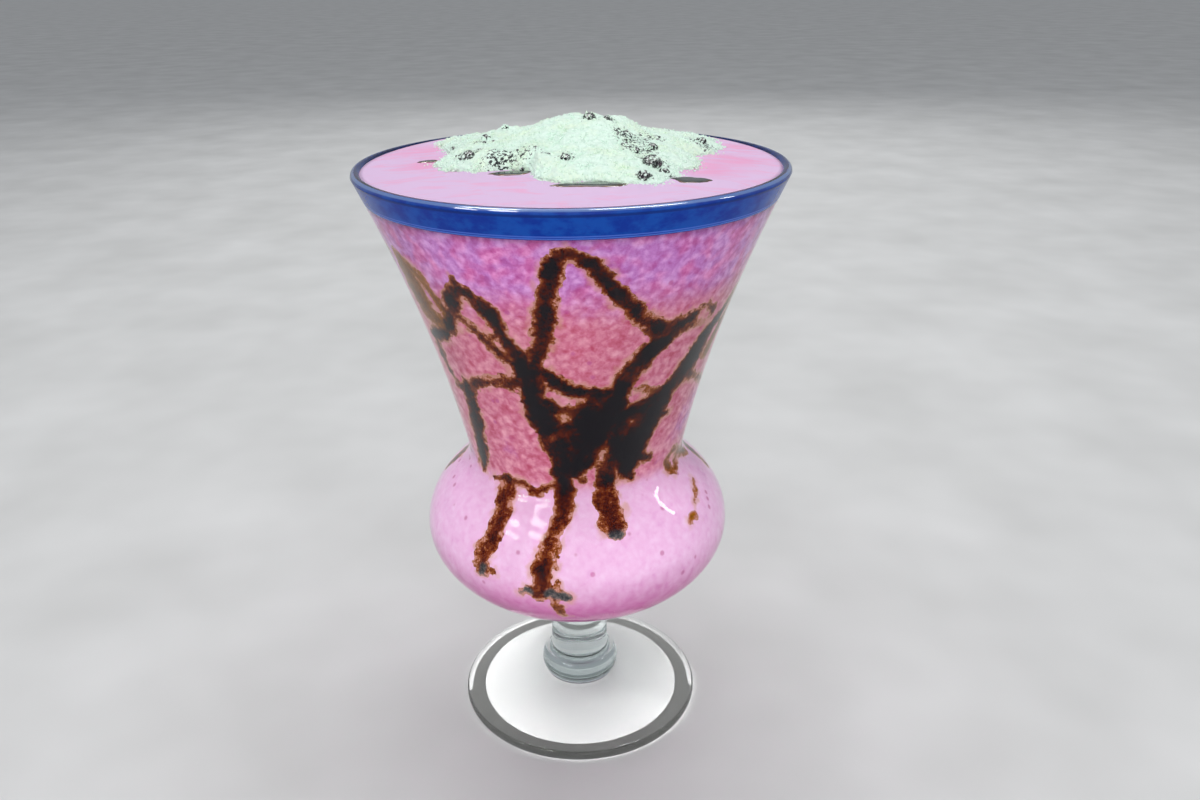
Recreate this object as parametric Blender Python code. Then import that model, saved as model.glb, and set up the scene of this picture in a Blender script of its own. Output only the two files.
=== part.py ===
"""Pink milk-ice scramble in a footed glass, with chocolate syrup streaks and a heap of milk powder.

Metres, +Z up. The origin is the centre of the foot's underside, and the glass stands on z = 0.
"""

import math
import random

import bmesh
import bpy
from mathutils import Vector, noise

MM = 0.001

# Glass
RIM_HEIGHT = 151.7 * MM
LIP_RADIUS = 1.2 * MM
WALL = 2.4 * MM
WAIST_HEIGHT = 82.0 * MM
WAIST_RADIUS = 28.2 * MM
FLARE_SLOPE = 0.215
FLARE_CURVE = 0.00175 / MM
BULB_HEIGHT = 58.0 * MM
BULB_RADIUS = 39.8 * MM
BULB_DROP = 23.4 * MM
BULB_SHOULDER = 25.3 * MM
WAIST_BLEND = 2.5 * MM
BOWL_FLOOR = 38.4 * MM
STEM_RADIUS = 8.05 * MM
STEM_TOP = 33.0 * MM
STEM_FILLET = (1.6 * MM, 2.6 * MM)
KNOP_RADIUS = 10.7 * MM
KNOP_NECK = 10.0 * MM
KNOP_HEIGHT = 10.2 * MM
KNOP_HALF_HEIGHT = 3.6 * MM
KNOP_TURNS = (-60, 70)
FOOT_RADIUS = 32.9 * MM
FOOT_EDGE = 1.6 * MM
FOOT_RISE = 4.0 * MM
REST_RING = (27.5 * MM, 31.2 * MM)
UNDERCUT = 1.3 * MM
GLASS_SEGMENTS = 32
BULB_TURNS = (68, 56, 45, 34, 23, 12)

# Coloured band under the lip, in a shallow groove of the outer wall
BAND_LOW = 145.0 * MM
BAND_HIGH = 150.1 * MM
BAND_THICKNESS = 0.5 * MM

# Clearance that touching pieces keep
GAP = 0.3 * MM

# How flat the faces are that are merged after a Boolean, in degrees
SYRUP_MERGE = 5.0
SLUSH_MERGE = 2.4
POWDER_MERGE = 0.3

# Frozen drink
SLUSH_BRIM = 151.0 * MM
SLUSH_REACH = 48.0 * MM
SLUSH_DOME = 1.7 * MM
SLUSH_BACK_LIFT = 0.9 * MM

# Syrup on the inner wall, which has slipped down a little from its routes
SYRUP_DEPTH = 1.3 * MM
SYRUP_GAP = 0.42 * MM
SYRUP_SLIP = 0.7 * MM
STRAND_LIFT = 0.16 * MM
ROUTE_STEP = 7.0 * MM
WAIST_STEP = 3.0 * MM
WAIST_ZONE = (70 * MM, 88 * MM)
RAGGED = 0.10

# Syrup on the top: (name, x, y, half length, half width, turn in degrees), millimetres
POOLS = (
    ("syrup_pool_right", 25.5, -26.0, 4.5, 2.7, -4),
    ("syrup_pool_front", 4.5, -30.6, 8.2, 2.1, 2),
    ("syrup_pool_left", -12.8, -18.8, 4.9, 2.2, 4),
    ("syrup_pool_outer", -33.4, -1.0, 2.4, 1.2, 4),
)
POOL_DEPTH = 0.8 * MM
POOL_SUNK = 0.1 * MM

# Milk powder, in millimetres: the heap's outline as (degrees, radius), its mounds as (x, y, radius, height)
POWDER_CENTRE = (-1.0 * MM, 1.0 * MM)
POWDER_OUTLINE = (
    (0, 31), (10, 35), (25, 43), (48, 45), (75, 42), (105, 42), (128, 43.5), (151, 38), (162, 30.5),
    (176, 27.5), (190, 31), (204, 29), (219, 27), (232, 20.5), (246, 20.5), (259, 27.5), (278, 29),
    (295, 34.5), (312, 34.5), (328, 31), (345, 31),
)
POWDER_MOUNDS = (
    (3, 7, 13, 3.7),
    (0, 4, 26, 2.8),
    (-5, 8, 5, 0.3),
    (12, 8, 4, 0.7),
    (-15.5, 13, 3.4, 0.8),
    (-24, 16, 12, 0.8),
    (25, 14, 12, 0.8),
    (6, -16, 12, 0.8),
    (-15, -10, 10, 0.8),
)
POWDER_SHOULDER = 3.6
POWDER_SKIRT = 1.1 * MM
POWDER_EDGE = 0.35 * MM
POWDER_EDGE_SHARE = 0.16
POWDER_LUMPS = ((4.5 * MM, 0.5 * MM), (2.4 * MM, 0.35 * MM))
POWDER_SIDES = 36
POWDER_RINGS = 9

# Syrup drops on the powder: (x, y, radius), millimetres
DROPS = (
    (15.4, -28.2, 1.4), (17.7, -19.0, 2.1), (20.0, -22.4, 1.1), (18.5, -7.1, 1.3), (14.6, -12.6, 1.1),
    (-1.1, -19.4, 1.2), (-22.7, -11.6, 1.5), (-20.2, 5.7, 1.1), (-16.0, 11.4, 0.9), (4.4, 4.0, 1.5),
    (8.7, 4.2, 1.1), (31.9, 10.9, 1.1),
)

# Routes of the syrup down the wall, as (angle in degrees from the front, height, width), millimetres
FRONT_ROUTES = (
    ((2, 142.0, 3.4), (-2, 142.1, 3.8), (-4.8, 139, 4.6), (-6, 135, 4.6), (-7.6, 130, 4.9),
     (-8.7, 125, 4.6), (-10.5, 121, 4.3), (-12.9, 117, 3.6), (-14.5, 112, 4.5), (-16, 107, 6)),
    ((0.5, 142.1, 3.4), (4.5, 140.4, 3.4), (8.5, 137.2, 3.5), (12, 134.1, 3.7), (16, 130.7, 3.9),
     (20, 127.9, 4.4), (24, 125, 4.8), (29, 122.6, 4.8), (35, 121.3, 5.2)),
    ((33, 122, 4.5), (39, 122.3, 4.2), (42.5, 123.3, 3.2), (46, 124.8, 1.9), (49.5, 125.4, 1.8),
     (53, 123.8, 2.2), (55.5, 122, 1.4)),
    ((38, 120.5, 3.2), (33, 118.8, 5.5), (28, 116, 6), (24, 113, 5.6), (20.5, 110, 5.6), (17.5, 106, 6),
     (17, 102, 7)),
    ((90, 129, 2.2), (82, 128, 2.8), (74, 125.4, 3.2), (67, 122.3, 3.4), (63, 120, 4.0), (58.5, 117.5, 5.2),
     (54, 113.5, 6.8), (50, 109.3, 7.4), (45, 106, 6.2), (39, 103.5, 5.4), (32, 101.3, 5.6), (26, 100, 7)),
    ((42, 103, 5), (38, 100, 7), (32, 96, 9), (28, 91.5, 9.4), (27, 87, 8.4), (27, 83.4, 5.6),
     (29, 80.8, 2.6)),
    ((30, 97.6, 5), (38, 97.8, 3.6), (46, 97.2, 1.4)),
    ((29, 87, 4.4), (35, 86, 3.2), (42, 84.6, 1.2)),
    ((-11.5, 113.2, 3.6), (-8, 110.6, 4), (-4, 108.8, 4), (1, 107.6, 3.8), (6, 107, 3.8),
     (11, 106.6, 3.6), (17, 106.6, 4.4)),
    ((-13, 104.8, 3.2), (-9, 103, 3.6), (-4, 101.6, 4.2), (1, 101.2, 4.6), (6, 101.4, 5)),
    ((-11.5, 99.4, 4.4), (-6, 98, 5.2), (-1, 98, 5.4), (4, 99, 5)),
    ((-19.6, 115.5, 5), (-18.4, 111, 5.8), (-16.6, 106, 6), (-14.5, 101, 6.6), (-11.2, 97, 7.6),
     (-7, 92, 7.6), (-5.2, 87.5, 6.6), (-6, 83.5, 6), (-6.5, 79.5, 5.2)),
    ((9, 105.6, 5), (6, 100.4, 8.6), (4, 96, 9.6), (4, 91, 9), (2.6, 87, 7), (-1, 84, 4.4), (3.4, 81.8, 1.6)),
    ((15, 104, 7.4), (12.6, 99, 8.4), (10, 93.5, 7), (8, 89, 4.6)),
    ((20, 99, 8), (19, 93, 6.2), (18, 88.4, 5.2), (16.5, 84, 5.2), (15.8, 80, 5.2), (15.5, 76, 5.8),
     (15.8, 73, 6.2), (16.5, 70.6, 5.4)),
    ((-63, 115.8, 3.2), (-57, 117.5, 4.2), (-52, 119, 4.6), (-47, 121, 4.4), (-43.5, 124.5, 4.2),
     (-40.5, 128.5, 4.4), (-37, 131.6, 4), (-33, 131.5, 3.6), (-29, 129.4, 4.2), (-26, 126, 4),
     (-23.5, 122, 3.7), (-21.5, 118.5, 3.9), (-19.5, 114, 4.6)),
    ((-39, 124.4, 1.6), (-34.5, 122, 1.8), (-31, 120, 2.4), (-28, 117.8, 2.8), (-24.5, 116, 3),
     (-20, 113.6, 3.2)),
    ((-62, 137.4, 3), (-60.5, 134, 6.6), (-60, 130, 8.6), (-59.8, 126, 8.6), (-57.5, 123, 7.6),
     (-53.5, 121.4, 6), (-49, 120.6, 4.6)),
    ((-56, 134.4, 3), (-52.6, 132.6, 3), (-50, 130, 2.8), (-47.8, 127.4, 3), (-45.6, 124.4, 3.4)),
    ((76, 125, 1.6), (73, 121.4, 3.6), (70, 117.8, 4.6), (67, 114, 4.6), (64, 110.4, 4)),
    ((-19, 110, 4.2), (-25, 108.8, 3.4), (-30, 108.7, 2.8), (-36, 108, 2.6), (-42, 107, 2.8),
     (-48, 105.2, 3), (-54, 103.8, 3.2), (-59, 103, 1.8)),
    ((-62, 116, 3), (-62.6, 111.4, 3), (-61.6, 107.4, 2.4), (-58, 104.4, 2.2)),
    ((-50, 104.5, 4.8), (-50.7, 100, 5), (-52, 95, 5.2), (-54, 90.5, 5), (-55.4, 86, 4.6), (-57.4, 82, 3.6),
     (-58, 79.2, 2.2)),
    ((-6, 81, 3.8), (-11, 80.2, 2.2), (-15.4, 79.2, 1.4), (-20, 77.8, 1.4), (-23, 78, 1.9), (-26.4, 79, 2),
     (-30, 79.3, 2.3), (-35, 79.2, 2.6), (-40, 79.2, 2.5), (-44.6, 78.6, 1.7), (-49, 78.2, 0.9)),
    ((-37.8, 78.6, 4.6), (-37.2, 75.5, 4.4), (-35.2, 72.5, 4.2), (-34.3, 70, 4.1), (-35, 67, 3.8),
     (-37.3, 64.2, 4.4), (-38, 61.6, 4.2), (-36.6, 59.6, 3.2)),
    ((-6.5, 82, 5.6), (-6.5, 78, 5), (-6.5, 74.4, 4.6), (-8.6, 71.2, 4), (-11, 68.5, 3.5), (-11.9, 65.5, 3.8),
     (-13, 62.5, 4.8), (-13, 59.8, 4.6), (-13, 57.2, 4.6)),
    ((-20.4, 57, 1.3), (-17, 57.6, 2.4), (-12, 57.6, 3.4), (-7, 57.4, 2.7), (-2.8, 56.2, 1.3)),
    ((-8.6, 57.4, 2.2), (-8, 54.4, 2.2), (-6.6, 51.8, 1.7), (-5.2, 50.2, 1.1)),
    ((92, 110, 2.8), (88.5, 116, 3.8), (86.5, 121, 3.8), (84.6, 126.4, 3.2)),
    ((92, 111, 4), (93.4, 106, 4.4), (95, 100, 4.2), (96, 93, 3.8), (97, 86, 3.4), (97, 80, 2.8),
     (98, 74, 2.6), (97, 69, 2)),
    ((91, 112, 2.8), (99, 113, 2.4), (106, 116, 2.6), (112, 120, 2.2)),
)
RIGHT_DROP_ROUTES = (
    ((56, 81, 2), (57.8, 79, 2.8), (60.4, 77.2, 3.2), (64, 76.7, 3.2), (66.4, 78.6, 2.4), (66, 81, 2)),
    ((57, 81.8, 1.8), (61, 82.8, 1.8), (66, 81.8, 2.4), (71, 80.6, 2.6), (77, 78.8, 2.6), (83, 77, 2.2),
     (88, 75.6, 1.4)),
)
LEFT_ROUTES = (
    ((-71, 137, 1.8), (-75, 133, 3.2), (-79, 128, 4), (-83.5, 122, 4.4), (-88, 116, 4.6), (-92, 110, 4.8),
     (-95, 103, 4.8), (-97, 96, 4.4), (-98, 89, 3.8), (-99, 83, 3.2), (-99, 77, 3), (-98, 72, 3.4),
     (-98, 69, 1.8)),
    ((-91, 112, 3.4), (-99, 113.4, 2.8), (-106, 117, 2.8), (-112, 121.6, 2)),
    ((-94.6, 104, 3), (-88, 101, 2.4), (-82, 99.4, 2.2), (-77, 97, 2.4), (-75, 92.6, 2)),
)
BACK_ROUTES = (
    ((182, 139.2, 2.6), (176, 139.6, 3.2), (171, 135, 4), (168, 129, 4.2), (165, 123, 4.4), (162, 117, 4.4),
     (160, 111, 5), (161, 106, 6)),
    ((180, 139.5, 2.4), (186, 137, 2.6), (192, 132, 3), (198, 127, 3.4), (205, 123, 4), (213, 120.6, 4.4)),
    ((228, 129, 2), (222, 124.6, 3.4), (214, 120, 4.8), (206, 115, 5.2), (199, 110, 5.4), (192, 105, 6),
     (186, 100, 7), (180, 95, 8), (176, 90, 7.6)),
    ((131, 130, 2.4), (137, 129.6, 3.6), (143, 125, 4.2), (148, 120, 4.2), (153, 115, 4.6), (159, 110, 5),
     (165, 104, 7), (171, 98, 8.6), (175, 92, 9), (176, 87, 7), (175, 82, 5.4), (173, 77, 4.8), (171, 72, 4),
     (172, 67, 3.6), (171, 63, 4.2), (170, 60, 2.6)),
    ((161, 108.4, 3), (152, 107, 2), (144, 106.4, 2), (137, 105, 2.6), (131, 102.6, 2.6)),
    ((131, 104, 4), (130, 98, 4.6), (128, 92, 4.8), (127, 86, 4.2), (126, 80, 2.4)),
    ((176, 90, 6), (184, 88, 4.8), (190, 85, 4.4), (193, 80, 4.4), (194, 75, 4.6), (194, 70, 4.2),
     (194, 66.6, 3.2)),
    ((213.4, 119.4, 4), (217, 113, 4.4), (219, 106, 4.2), (220, 99, 3.8), (221, 92, 3.4), (223, 86, 3),
     (224, 81, 1.8)),
)


def clear_scene():
    for obj in list(bpy.data.objects):
        bpy.data.objects.remove(obj)


def principled(name, color, roughness, transmission=0.0):
    material = bpy.data.materials.new(name)
    material.use_nodes = True
    shader = material.node_tree.nodes["Principled BSDF"]
    shader.inputs["Base Color"].default_value = (*color, 1)
    shader.inputs["Roughness"].default_value = roughness
    shader.inputs["Metallic"].default_value = 0
    shader.inputs["Transmission Weight"].default_value = transmission
    return material


def glass_material():
    return principled("clear_glass", (0.93, 0.96, 0.97), 0.03, transmission=0.9)


def band_material():
    return principled("blue_enamel", (0.009, 0.06, 0.33), 0.2)


def slush_material():
    return principled("pink_slush", (0.78, 0.44, 0.72), 0.4)


def syrup_material():
    return principled("chocolate_syrup", (0.022, 0.011, 0.009), 0.2)


def powder_material():
    return principled("milk_powder", (0.76, 0.93, 0.80), 0.9)


def add_object(name, bm, material):
    bmesh.ops.recalc_face_normals(bm, faces=bm.faces)
    mesh = bpy.data.meshes.new(name)
    bm.to_mesh(mesh)
    bm.free()
    mesh.shade_smooth()
    mesh.set_sharp_from_angle(angle=math.radians(40))
    mesh.materials.append(material)
    obj = bpy.data.objects.new(name, mesh)
    bpy.context.scene.collection.objects.link(obj)
    return obj


def hide_as_cutter(obj):
    obj.hide_render = True
    obj.display_type = "WIRE"


def grouped(name, objects):
    """Moves the objects into a collection of their own, for one Boolean to read."""
    collection = bpy.data.collections.new(name)
    bpy.context.scene.collection.children.link(collection)
    for obj in objects:
        bpy.context.scene.collection.objects.unlink(obj)
        collection.objects.link(obj)
    return collection


def apply_boolean(obj, objects, operation, solver="EXACT"):
    """Joins the objects to obj, or cuts them out of it, and removes them."""
    for other in objects:
        hide_as_cutter(other)
    collection = grouped(f"{obj.name}_{operation.lower()}", objects)
    modifier = obj.modifiers.new(operation.title(), "BOOLEAN")
    modifier.operation = operation
    modifier.operand_type = "COLLECTION"
    modifier.collection = collection
    modifier.solver = solver
    if solver == "EXACT":
        modifier.use_self = True
    bpy.context.view_layer.update()
    graph = bpy.context.evaluated_depsgraph_get()
    joined = bpy.data.meshes.new_from_object(obj.evaluated_get(graph), depsgraph=graph)
    obj.modifiers.clear()
    obj.data = joined
    for other in objects:
        bpy.data.objects.remove(other)
    bpy.data.collections.remove(collection)


def merge_flat_faces(obj, degrees, below=2 * RIM_HEIGHT):
    """Joins the slivers that a Boolean leaves in nearly flat faces, where they lie under a height."""
    bm = bmesh.new()
    bm.from_mesh(obj.data)
    verts = [vertex for vertex in bm.verts if vertex.co.z < below]
    edges = [edge for edge in bm.edges if max(vertex.co.z for vertex in edge.verts) < below]
    bmesh.ops.dissolve_limit(bm, angle_limit=math.radians(degrees), verts=verts, edges=edges)
    bmesh.ops.triangulate(bm, faces=bm.faces)
    bm.to_mesh(obj.data)
    bm.free()


def keep_largest_piece(obj):
    """Fills the hollows that a union has sealed and drops loose scraps: each is an island of faces."""
    bm = bmesh.new()
    bm.from_mesh(obj.data)
    left = set(bm.faces)
    islands = []
    while left:
        island = [left.pop()]
        for face in island:
            beside = {other for edge in face.edges for other in edge.link_faces}
            island += beside & left
            left -= beside
        islands.append(island)
    islands.sort(key=len)
    for island in islands[:-1]:
        bmesh.ops.delete(bm, geom=island, context="FACES")
    bm.to_mesh(obj.data)
    bm.free()


def outer_radius(z):
    """The bowl's outside: an ellipsoid bulb that blends into a flared cone at the waist."""
    if z < BULB_HEIGHT:
        share = (BULB_HEIGHT - z) / BULB_DROP
        return BULB_RADIUS * math.sqrt(max(0.0, 1 - share * share))
    share = min(1.0, (z - BULB_HEIGHT) / BULB_SHOULDER)
    bulb = BULB_RADIUS * math.sqrt(1 - share * share)
    up = z - WAIST_HEIGHT
    flare = WAIST_RADIUS + FLARE_SLOPE * up + FLARE_CURVE * up * up
    larger = max(bulb, flare)
    return larger + WAIST_BLEND * math.log1p(math.exp(-abs(bulb - flare) / WAIST_BLEND))


def outer_slope(z):
    step = 0.05 * MM
    return (outer_radius(z + step) - outer_radius(z - step)) / (2 * step)


def wall_radius(z, inwards):
    """The radius at height z of a surface that lies inwards of the bowl's outside, measured square to it."""
    low, high = z - 1.2 * inwards, z + 1.2 * inwards
    for _ in range(40):
        middle = (low + high) / 2
        slope = outer_slope(middle)
        reached = middle + inwards * slope / math.hypot(1, slope)
        if reached < z:
            low = middle
        else:
            high = middle
    slope = outer_slope(low)
    return outer_radius(low) - inwards / math.hypot(1, slope)


def spread_between(low, high, count):
    return [low + (high - low) * i / (count - 1) for i in range(count)]


def foot_outline():
    """Axis to the foot's edge underneath, round the edge, and up over the foot to the knop."""
    inner, outer = REST_RING
    points = [(0, UNDERCUT), (inner * 0.6, UNDERCUT * 0.8), (inner, 0), (outer, 0)]
    for step in range(1, 4):
        turn = -math.pi / 2 + math.pi * step / 4
        points.append((outer + (FOOT_RADIUS - outer) * math.cos(turn), FOOT_EDGE * (1 + math.sin(turn))))
    for step in range(5):
        share = step / 4
        radius = outer + (KNOP_NECK - outer) * share
        points.append((radius, 2 * FOOT_EDGE + FOOT_RISE * share**1.7))
    return points


def stem_outline():
    """The bead that sits on the foot, and the plain stem above it."""
    points = []
    for degrees in spread_between(*KNOP_TURNS, 5):
        turn = math.radians(degrees)
        radius = STEM_RADIUS + (KNOP_RADIUS - STEM_RADIUS) * math.cos(turn)
        points.append((radius, KNOP_HEIGHT + KNOP_HALF_HEIGHT * math.sin(turn)))
    points.append((STEM_RADIUS, KNOP_HEIGHT + 1.25 * KNOP_HALF_HEIGHT))
    points.append((STEM_RADIUS, STEM_TOP))
    points.append((STEM_RADIUS + STEM_FILLET[0], STEM_TOP + STEM_FILLET[1]))
    return points


def bowl_heights():
    """Heights of the wall's rings: even turns round the bulb's lower half, close at the waist, wide above."""
    bulb = [BULB_HEIGHT - BULB_DROP * math.sin(math.radians(turn)) for turn in BULB_TURNS]
    shoulder = spread_between(BULB_HEIGHT, WAIST_HEIGHT + 6 * MM, 9)
    return bulb + shoulder + spread_between(WAIST_HEIGHT + 17 * MM, BAND_LOW - 5 * MM, 4)


def outer_bowl_outline():
    """The bowl's outside, with the shallow groove that holds the band."""
    groove = GAP + BAND_THICKNESS
    points = [(outer_radius(z), z) for z in bowl_heights()]
    low, high = BAND_LOW - GAP, BAND_HIGH + GAP
    points += [(outer_radius(low), low), (outer_radius(low) - groove, low)]
    points += [(outer_radius(high) - groove, high), (outer_radius(high), high)]
    return points


def lip_outline():
    """A round lip between the outer and the inner wall."""
    middle_height = RIM_HEIGHT - LIP_RADIUS
    middle = outer_radius(middle_height) - LIP_RADIUS
    turns = [math.pi * step / 4 for step in range(5)]
    return [(middle + LIP_RADIUS * math.cos(t), middle_height + LIP_RADIUS * math.sin(t)) for t in turns]


def inner_bowl_heights():
    """The same rings from the lip down, as far as the bowl's round floor."""
    rings = bowl_heights() + [BAND_LOW, BAND_HIGH - 1 * MM]
    return [z for z in reversed(rings) if z > BOWL_FLOOR + 3 * MM]


def floor_outline(inwards, floor):
    """The round bottom between the lowest wall ring and the axis."""
    start = inner_bowl_heights()[-1]
    edge = wall_radius(start, inwards)
    turns = [math.pi / 2 * step / 3 for step in range(1, 4)]
    return [(edge * math.cos(t), start - (start - floor) * math.sin(t)) for t in turns]


def turned(name, outline, segments, material):
    """Turns an outline of (radius, height) about Z. It starts and ends on the axis."""
    bm = bmesh.new()
    rings = []
    for radius, z in outline:
        if radius < 0.01 * MM:
            rings.append([bm.verts.new((0, 0, z))] * segments)
            continue
        angles = [2 * math.pi * i / segments for i in range(segments)]
        rings.append([bm.verts.new((radius * math.sin(a), -radius * math.cos(a), z)) for a in angles])
    for low, high in zip(rings, rings[1:]):
        for i in range(segments):
            j = (i + 1) % segments
            corners = dict.fromkeys((low[i], low[j], high[j], high[i]))
            bm.faces.new(corners)
    return add_object(name, bm, material)


def make_glass():
    outline = foot_outline() + stem_outline() + outer_bowl_outline() + lip_outline()
    outline += [(wall_radius(z, WALL), z) for z in inner_bowl_heights()]
    outline += floor_outline(WALL, BOWL_FLOOR)
    return turned("glass", outline, GLASS_SEGMENTS, glass_material())


def make_rim_band():
    bm = bmesh.new()
    corners = []
    for z in (BAND_LOW, BAND_HIGH):
        corners.append((outer_radius(z), z))
    for z in (BAND_HIGH, BAND_LOW):
        corners.append((outer_radius(z) - BAND_THICKNESS, z))
    rings = []
    for i in range(GLASS_SEGMENTS):
        a = 2 * math.pi * i / GLASS_SEGMENTS
        rings.append([bm.verts.new((r * math.sin(a), -r * math.cos(a), z)) for r, z in corners])
    for i, ring in enumerate(rings):
        after = rings[(i + 1) % GLASS_SEGMENTS]
        for k in range(4):
            m = (k + 1) % 4
            bm.faces.new((ring[k], ring[m], after[m], after[k]))
    return add_object("rim_band", bm, band_material())


def slush_top(x, y):
    """The drink's surface: level with the brim, domed, and a little higher at the back."""
    reach = min(1.0, math.hypot(x, y) / SLUSH_REACH)
    lift = SLUSH_BACK_LIFT * max(0.0, y / SLUSH_REACH) ** 1.5
    return SLUSH_BRIM + SLUSH_DOME * (1 - reach**2.2) + lift


def make_slush():
    """A turned body under a domed top, whose rings follow slush_top."""
    inset = WALL + GAP
    wall = [(wall_radius(z, inset), z) for z in inner_bowl_heights()]
    bottom = floor_outline(inset, BOWL_FLOOR + GAP)
    brim_radius = wall_radius(SLUSH_BRIM - 1 * MM, inset)
    top_shares = (0, 0.25, 0.5, 0.75, 0.9, 1)
    outline = [(brim_radius * share, SLUSH_BRIM) for share in top_shares] + wall + bottom
    slush = turned("slush", outline, GLASS_SEGMENTS, slush_material())
    for vertex in slush.data.vertices:
        if abs(vertex.co.z - SLUSH_BRIM) < 0.01 * MM:
            vertex.co.z = slush_top(vertex.co.x, vertex.co.y)
    return slush


def catmull(a, b, c, d, share):
    """A smooth curve from b to c, for one coordinate."""
    return 0.5 * (
        2 * b + (c - a) * share + (2 * a - 5 * b + 4 * c - d) * share**2 + (3 * b - a - 3 * c + d) * share**3
    )


def route_stations(route):
    """Stations along a smooth curve through the route, as (angle, height, half width), close at the waist."""
    points = [(math.radians(a), z * MM - SYRUP_SLIP, w * MM / 2) for a, z, w in route]
    padded = [points[0], *points, points[-1]]
    dense = []
    for i in range(1, len(padded) - 2):
        for step in range(24):
            around = zip(padded[i - 1], padded[i], padded[i + 1], padded[i + 2])
            dense.append(tuple(catmull(*four, step / 24) for four in around))
    dense.append(points[-1])
    stations = [dense[0]]
    travelled = 0.0
    for before, after in zip(dense, dense[1:]):
        radius = outer_radius(after[1]) - WALL
        travelled += math.hypot((after[0] - before[0]) * radius, after[1] - before[1])
        near_waist = WAIST_ZONE[0] < after[1] < WAIST_ZONE[1]
        if travelled >= (WAIST_STEP if near_waist else ROUTE_STEP):
            stations.append(after)
            travelled = 0.0
    if travelled > 0.5 * WAIST_STEP:
        stations.append(dense[-1])
    else:
        stations[-1] = dense[-1]
    return stations


def wall_point(angle, z, inwards):
    radius = wall_radius(z, inwards)
    return Vector((radius * math.sin(angle), -radius * math.cos(angle), z))


def ribbon(name, route, section, spread, seed):
    """Sweeps a section, as (share of the half width, distance inwards), along a route on the wall."""
    draw = random.Random(seed)
    stations = route_stations(route)
    bm = bmesh.new()
    rings = []
    for i, (angle, z, half) in enumerate(stations):
        before = stations[max(i - 1, 0)]
        after = stations[min(i + 1, len(stations) - 1)]
        radius = outer_radius(z) - WALL
        along = Vector(((after[0] - before[0]) * radius, after[1] - before[1])).normalized()
        across = Vector((-along.y, along.x))
        half = half * (1 + RAGGED * draw.uniform(-1, 1)) + spread
        past_end = along * spread * ((i == len(stations) - 1) - (i == 0))
        ring = []
        for share, inwards in section:
            side = across * (share * half) + past_end
            ring.append(bm.verts.new(wall_point(angle + side.x / radius, z + side.y, inwards)))
        rings.append(ring)
    count = len(section)
    for low, high in zip(rings, rings[1:]):
        for k in range(count):
            m = (k + 1) % count
            bm.faces.new((low[k], low[m], high[m], high[k]))
    bm.faces.new(rings[0])
    bm.faces.new(reversed(rings[-1]))
    return add_object(name, bm, syrup_material())


def syrup_section(index):
    """Crossing strands lie at slightly different depths, so that their faces cross cleanly."""
    face = WALL + SYRUP_GAP + (index % 3) * STRAND_LIFT
    back = face + SYRUP_DEPTH
    return ((-1, face), (0, face), (1, face), (0.6, back), (-0.6, back))


def channel_section():
    """Deeper than the deepest strand, and open towards the glass."""
    face = WALL - 2 * GAP
    back = WALL + SYRUP_GAP + SYRUP_DEPTH + 2 * STRAND_LIFT + GAP
    return ((-1, face), (1, face), (0.9, back), (-0.9, back))


def make_syrup_web(name, routes, seed):
    strands = [
        ribbon(f"{name}_{i}", route, syrup_section(i), 0, seed + i) for i, route in enumerate(routes)
    ]
    web = strands[0]
    web.name = name
    apply_boolean(web, strands[1:], "UNION", solver="MANIFOLD")
    merge_flat_faces(web, SYRUP_MERGE)
    keep_largest_piece(web)
    return web


def channel_cutters(name, routes, seed):
    return [
        ribbon(f"{name}_channel_{i}", route, channel_section(), 1.4 * GAP, seed + i)
        for i, route in enumerate(routes)
    ]


def pool(name, x, y, long_half, short_half, turn, spread, top, bottom):
    """A thin flat puddle with an uneven oval outline, between two offsets from the drink's surface."""
    sides = 16
    bm = bmesh.new()
    rings = []
    for offset in (bottom, top):
        ring = []
        for i in range(sides):
            angle = 2 * math.pi * i / sides
            wobble = 1 + 0.09 * math.sin(3 * angle + x) + 0.05 * math.sin(5 * angle + y)
            u = (long_half * MM * wobble + spread) * math.cos(angle)
            v = (short_half * MM * wobble + spread) * math.sin(angle)
            c, s = math.cos(math.radians(turn)), math.sin(math.radians(turn))
            px, py = x * MM + c * u - s * v, y * MM + s * u + c * v
            ring.append(bm.verts.new((px, py, slush_top(px, py) + offset)))
        rings.append(ring)
    for i in range(sides):
        j = (i + 1) % sides
        bm.faces.new((rings[0][i], rings[0][j], rings[1][j], rings[1][i]))
    for ring, offset in ((rings[0], bottom), (rings[1], top)):
        middle = bm.verts.new((x * MM, y * MM, slush_top(x * MM, y * MM) + offset))
        for i in range(sides):
            bm.faces.new((ring[i], ring[(i + 1) % sides], middle))
    return add_object(name, bm, syrup_material())


def make_pools():
    return [pool(*place, 0, -POOL_SUNK, -POOL_SUNK - POOL_DEPTH) for place in POOLS]


def pool_cutters():
    bottom = -POOL_SUNK - POOL_DEPTH - GAP
    return [pool(f"{place[0]}_recess", *place[1:], 1.2 * GAP, POOL_DEPTH, bottom) for place in POOLS]


def powder_reach(angle):
    """The heap's outline radius at an angle, through its outline points in a smooth closed curve."""
    degrees = math.degrees(angle) % 360
    count = len(POWDER_OUTLINE)
    for i in range(count):
        start, end = POWDER_OUTLINE[i][0], POWDER_OUTLINE[(i + 1) % count][0]
        span = (end - start) % 360
        if (degrees - start) % 360 < span:
            share = ((degrees - start) % 360) / span
            four = [POWDER_OUTLINE[(i + k) % count][1] for k in (-1, 0, 1, 2)]
            ragged = 1 + 0.03 * math.sin(11 * angle) + 0.02 * math.sin(23 * angle)
            return catmull(*four, share) * ragged * MM
    return POWDER_OUTLINE[0][1] * MM


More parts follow.
